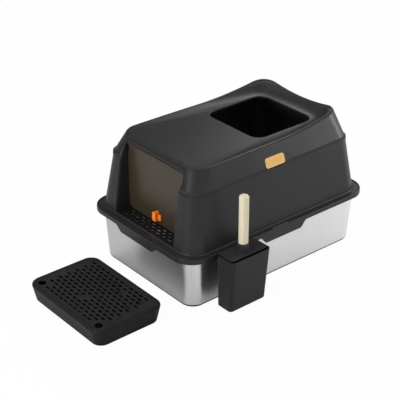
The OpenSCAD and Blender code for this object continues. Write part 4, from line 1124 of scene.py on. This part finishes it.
def buildPedalGrille():
    grid = pedalGrille
    width, length = door["width"] - 2 * slip - pedal["sideGap"], pedalBack - pedalFront
    middle = (pedalBack + pedalFront) / 2
    boltX, boltY = lock["x"], hingeY + lock["border"] / 2 + seat + lock["clip"] / 2
    halfBolt, halfDeep = lock["bolt"] / 2 + lock["playX"], lock["clip"] / 2 + lock["playY"]
    rim, corner = grid["rimThick"], grid["corner"]
    outer, inner = [width, length, corner], [width - 2 * rim, length - 2 * rim, corner - rim]
    top, low = pedalTop, pedalTop - pedal["rim"]
    plate = skin("pedal_grille", [ring(inner, top - pedal["thick"], 0, middle), ring(inner, low, 0, middle),
                                  ring(outer, low, 0, middle), ring(outer, top, 0, middle)])
    carve(plate, "DIFFERENCE", slab("keeper", (boltX - halfBolt, boltY - halfDeep, top - 20),
                                    (boltX + halfBolt, boltY + halfDeep, top + 5)))
    cutSlots(plate, "pedalPlastic", 0.0, (0, middle, top), Width=width - grid["edgeX"],
             Length=length - grid["edgeY"], PitchX=grid["pitchX"], PitchY=grid["pitchY"], Depth=20,
             KeepX=boltX, KeepY=boltY - middle, KeepWidth=lock["bolt"] + grid["keep"],
             KeepLength=lock["clip"] + 4)
    deliver(plate, "hood_base", "pedalPlastic", ["entry_grid"], soften=0.25, segments=2)


deliverCopies(doorPieces)
buildPedalGrille()
print("door parts built")

# Lid latches

grip = {"ribs": 15, "pitch": 3, "radius": 0.5, "length": 11, "rim": 4.2, "deep": 0.8, "corner": 2.6}
latchTilt = math.atan(latchLean)


def onWall(u, v, w):  # a place on the leaning wall: along it, up it, and out of its face
    x = sideX(latchZ) + w * math.cos(latchTilt) - v * math.sin(latchTilt)
    return (x, latch["y"] + u, latchZ + w * math.sin(latchTilt) + v * math.cos(latchTilt))


def crossHeadScrew():
    shank, head, reach = latch["screw"], latch["screwHead"], latch["cover"] + 8
    screw = prism("screw", disc(0, 0, head, 24), -2, 0, "x")
    carve(screw, "UNION", prism("shank", disc(0, 0, shank, 16), -0.5, reach, "x"))
    top, floor, arm, half = (latch["cross"][key] for key in ("top", "floor", "arm", "half"))
    return carve(screw, "DIFFERENCE", slab("cross1", (top, -arm, -half), (floor, arm, half)),
                 slab("cross2", (top, -half, -arm), (floor, half, arm)))


def gripRib():  # a bar with round ends
    r, outline, rings = grip["radius"], disc(0, 0, grip["radius"], 10), []
    for i in range(9):
        t = -math.pi / 2 + math.pi * i / 8
        end = 1 if t > 0 else -1 if t < 0 else 0
        z = math.sin(t) * r + (grip["length"] / 2 - r) * end
        k = max(math.cos(t), 0.05)
        rings.append([(x * k, y * k, z) for x, y in outline])
    return skin("rib", rings)


def buildLatch(side, sign, screw, rib):
    body, deep = "latch_" + side, grip["deep"]
    button = fromNode("latch_button_" + side, "press_button_" + side)
    rim = [latch["length"] - 2 * grip["rim"], latch["height"] - 2 * grip["rim"], grip["corner"]]
    pocket = skin("pocket", [[onWall(u, v, w) for u, v in plan(rim)] for w in (1 - deep, 3)])
    carve(button, "DIFFERENCE", pocket if sign > 0 else flipped(pocket))
    deliver(button, body, "amberPlastic", ["latch_button_" + side], soften=1.2, segments=4)
    cover = fromNode("latch_cover_" + side, "latch_housing_" + side)
    deliver(cover, "lid", "darkPlastic", ["latch_cover_" + side], soften=0.4, segments=2)
    half = (grip["ribs"] - 1) / 2
    spots = [onWall((i - half) * grip["pitch"], 0, 1 - deep) for i in range(grip["ribs"])]
    row = points("button_ribs_" + side, [(sign * x, y, z) for x, y, z in spots])
    grow(row, copiesOnPoints, Part=rib, Turn=(0, -sign * latchTilt, 0), Finish=finish["amberPlastic"])
    deliver(row, body, "amberPlastic", soften=0)

    wire, seatX = latch["wire"], coverX + latch["cover"]
    places = [(sign * (seatX + wire / 2), latch["y"] + s * latch["length"] / 4, latchZ) for s in (-1, 1)]
    coils = points("coil_springs_" + side, places)
    grow(coils, coilSpring, Turns=5.0, Radius=(latch["springRadius"] - wire / 2) * mm,
         Length=sign * (latch["spring"] - wire) * mm, Wire=wire / 2 * mm, Finish=finish["platedSteel"])
    deliver(coils, "lid", "platedSteel", ["latch_springs_" + side], soften=0, sharp=60)
    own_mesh(coils)

    places = [(sign * earX, latch["y"] + s * screwSpan / 2, latchZ) for s in (-1, 1)]
    screws = points("cover_screws_" + side, places)
    turn = (0, 0, 0 if sign > 0 else math.pi)
    grow(screws, copiesOnPoints, Part=screw, Turn=turn, Finish=finish["platedSteel"])
    deliver(screws, "lid", "platedSteel", ["latch_screws"] if sign > 0 else (), soften=0.2, segments=2)


def buildLatches():
    screw, rib = crossHeadScrew(), gripRib()
    for side, sign in (("right", 1), ("left", -1)):
        buildLatch(side, sign, screw, rib)
    for tool in (screw, rib):
        bpy.data.objects.remove(tool)


buildLatches()
print("latches built")

# Scoop and holder

holder = {
    "length": 119, "depth": 61, "height": 141, "taper": 11, "setback": 159, "corner": 10, "wall": 2.4,
    "draft": 3, "foot": 3, "mouth": 0.8, "lip": 0.7, "innerBend": 2, "hook": 70, "hookThick": 2.2,
    "hookGap": 1.4, "hookEdge": 0.8,
}
handle = {"diameter": 23.5, "crown": 5, "edge": 0.8, "bore": 1.7, "boreDepth": 26}
scoopPieces = {  # as doorPieces
    "scoop_blade": ("scoop_head", "scoop", "scoopPlastic", 0.5, 3),
    "handle_screw": ("socket_screw", "scoop", "platedSteel", 0.25, 2),
}
holderX = hood["flange"][0] / 2 + slip + 0.1
holderTop = flangeZ + 1
holderLow = holderTop - holder["height"]


def holderRing(z, inset):
    t = (holderTop - z) / holder["height"]
    depth = holder["depth"] - holder["taper"] * t
    length = holder["length"] - 2 * holder["draft"] * t
    size = [depth - 2 * inset, length - 2 * inset, holder["corner"] - inset]
    return ring(size, z, holderX + depth / 2, -holder["setback"])


def buildHolder():
    wall, foot, mouth, inner = holder["wall"], holder["foot"], holder["mouth"], holder["innerBend"]
    rings = swung(range(90, -1, -15), lambda c, s: holderRing(holderLow + foot * (1 - s), foot * (1 - c)))
    for z in (0.25, 0.5, 0.75):
        rings.append(holderRing(mixed(holderLow + foot, holderTop - mouth, z), 0))
    rings += swung(range(0, 91, 30), lambda c, s: holderRing(holderTop - mouth * (1 - s), mouth * (1 - c)))
    lip = holder["lip"]
    rings += [holderRing(holderTop, wall - lip), holderRing(holderTop - lip, wall),
              holderRing(holderLow + wall + inner, wall), holderRing(holderLow + wall, wall + inner)]
    box = skin("scoop_bin", rings)
    bridge, t, edge = flangeZ + seat, holder["hookThick"], holder["hookEdge"]
    tip, root = hood["flange"][0] / 2 - hood["channelOut"] - holder["hookGap"], holderX + 1
    low = flangeZ - hood["channelDepth"] + seat
    hook = [(root, bridge), (root, bridge + t), (tip - t + edge, bridge + t), (tip - t, bridge + t - edge),
            (tip - t, low), (tip, low), (tip, bridge)]
    half = holder["hook"] / 2
    carve(box, "UNION", prism("hook", hook[::-1], -holder["setback"] - half, -holder["setback"] + half, "y"))
    deliver(box, "holder", "binPlastic", ["scoop_holder"], soften=0.3, segments=2)


def buildHandle():
    low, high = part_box("scoop_handle")
    x, y = (low.x + high.x) / 2 / mm, (low.y + high.y) / 2 / mm
    z0, z1, r = low.z / mm, high.z / mm, handle["diameter"] / 2
    crown, edge, bore = handle["crown"], handle["edge"], handle["bore"]
    profile = [(bore, z0 + handle["boreDepth"]), (bore, z0), (r - edge, z0), (r, z0 + edge)]
    profile += [(r, mixed(z0 + edge, z1 - crown, i / 6)) for i in range(1, 6)]
    profile += swung(range(0, 91, 10), lambda c, s: (r - crown * (1 - c), z1 - crown * (1 - s)))
    stick = lathe("wooden_handle", profile + [((r - crown) * 0.5, z1)], x, y, 56)
    deliver(stick, "scoop", "birchWood", ["scoop_handle"], soften=0, sharp=50)


buildHolder()
deliverCopies(scoopPieces)
buildHandle()
print("scoop and holder built")

# The step

step = {
    "width": 292, "depth": 196, "height": 48, "gap": 41.5, "x": 22.5, "corner": 30, "taper": 9, "low": 1.2,
    "rim": 11, "gridThick": 2.4, "gridDrop": 1, "finger": 20, "foot": 8, "footHeight": 2.6, "footEdge": 0.7,
    "ribHeight": 8, "ribThick": 2.4, "pitchX": 19, "pitchY": 12.4, "edge": 14, "floor": 4, "footRound": 3.4,
    "topRound": 6, "topReach": 5.6, "mouth": 0.7, "ledge": 4, "fingerInX": 19, "fingerInY": 14,
    "footInset": 8, "ribInset": 8, "ledgeThick": 4, "innerLean": 0.6, "innerFoot": (4, 7, 3),
}
stepY = -hood["flange"][1] / 2 - step["gap"] - step["depth"] / 2
stepPlan = [step["width"], step["depth"], step["corner"]]
recess = grown(stepPlan, -step["rim"])
gridTop = step["height"] - step["gridDrop"]
gridLow = gridTop - step["gridThick"]


def stepRing(inset, z):
    size = grown(stepPlan, -inset)
    narrow = step["taper"] * max(step["height"] - z, step["topRound"]) / step["height"]
    return ring([size[0] - 2 * narrow, size[1] - 2 * narrow, size[2] - narrow / 2], z, step["x"], stepY)


def recessRing(inset, z):
    return ring(grown(recess, -inset), z, step["x"], stepY)


def footPlaces(z):
    inset = step["corner"] + step["footInset"]
    halfX, halfY = step["width"] / 2 - inset, step["depth"] / 2 - inset
    return [(step["x"] + sx * halfX, stepY + sy * halfY, z) for sx in (-1, 1) for sy in (-1, 1)]


def buildTray():
    low, top, floor, ledge = step["low"], step["height"], step["low"] + step["floor"], gridLow - seat
    foot, high, reach, mouth = step["footRound"], step["topRound"], step["topReach"], step["mouth"]
    rings = swung(range(90, -1, -18), lambda c, s: stepRing(foot * (1 - c), low + foot * (1 - s)))
    rings += [stepRing(0, mixed(low + foot, top - high, t)) for t in (0.33, 0.66)]
    rings += swung(range(0, 91, 10), lambda c, s: stepRing(reach * (1 - c), top - high * (1 - s)))
    rings += swung(range(90, -1, -30), lambda c, s: recessRing(-mouth * (1 - c), top - mouth * (1 - s)))
    inner, (out, far, rise) = step["ledge"], step["innerFoot"]
    rings += [recessRing(0, ledge), recessRing(inner, ledge),
              recessRing(inner + step["innerLean"], ledge - step["ledgeThick"]),
              recessRing(inner + out, floor + rise), recessRing(inner + far, floor)]
    tray = skin("step_base", rings)
    hole = step["foot"] + slip
    for x, y, z in footPlaces(0):
        carve(tray, "DIFFERENCE", lathe("footSeat", [(hole, -1), (hole, step["footHeight"])], x, y, 40))
    deliver(tray, "step", "darkPlastic", ["step_tray"], soften=0.4, segments=2)


def buildFeet():
    r, high, edge = step["foot"], step["footHeight"], step["footEdge"]
    foot = lathe("foot", [(r - edge, 0), (r, edge), (r, high - 0.2), (r - 0.2, high)], 0, 0, 36)
    feet = points("rubber_feet", footPlaces(0))
    grow(feet, copiesOnPoints, Part=foot, Turn=(0, 0, 0), Finish=finish["footRubber"])
    bpy.data.objects.remove(foot)
    deliver(feet, "step", "footRubber", ["step_feet"], soften=0)


def buildStepGrille():
    size, middle = grown(recess, -slip), step["x"]
    plate = skin("step_grille", [ring(size, gridLow, middle, stepY), ring(size, gridTop, middle, stepY)])
    rows = math.floor((recess[1] - step["edge"] - slotRule["width"]) / step["pitchY"])
    halfX, halfY = recess[0] / 2 - step["ribInset"], step["ribThick"] / 2
    for side in (-1, 1):
        y = stepY + side * (math.floor(rows / 4) + 0.5 - rows / 2) * step["pitchY"]
        low, high = gridLow - step["ribHeight"], gridLow + 1
        rib = slab("rib", (middle - halfX, y - halfY, low), (middle + halfX, y + halfY, high))
        carve(plate, "UNION", rib)
    fingerX, fingerY = recess[0] / 2 - step["fingerInX"], recess[1] / 2 - step["fingerInY"]
    r = step["finger"] / 2
    for s in (-1, 1):
        profile = [(r, gridLow - 5), (r, gridTop + 5)]
        hole = lathe("finger", profile, middle + s * fingerX, stepY - fingerY, 40)
        carve(plate, "DIFFERENCE", hole)
    cutSlots(plate, "gridPlastic", 1.0, (middle, stepY, gridTop), Width=recess[0] - 2 * step["edge"],
             Length=recess[1] - step["edge"], PitchX=step["pitchX"], PitchY=step["pitchY"], Depth=30,
             KeepX=fingerX, KeepY=-fingerY, KeepWidth=step["finger"] + 10, KeepLength=step["finger"] + 5)
    deliver(plate, "step_grille", "gridPlastic", ["step_grid"], soften=0, sharp=5)


buildTray()
buildFeet()
buildStepGrille()
print("step built")
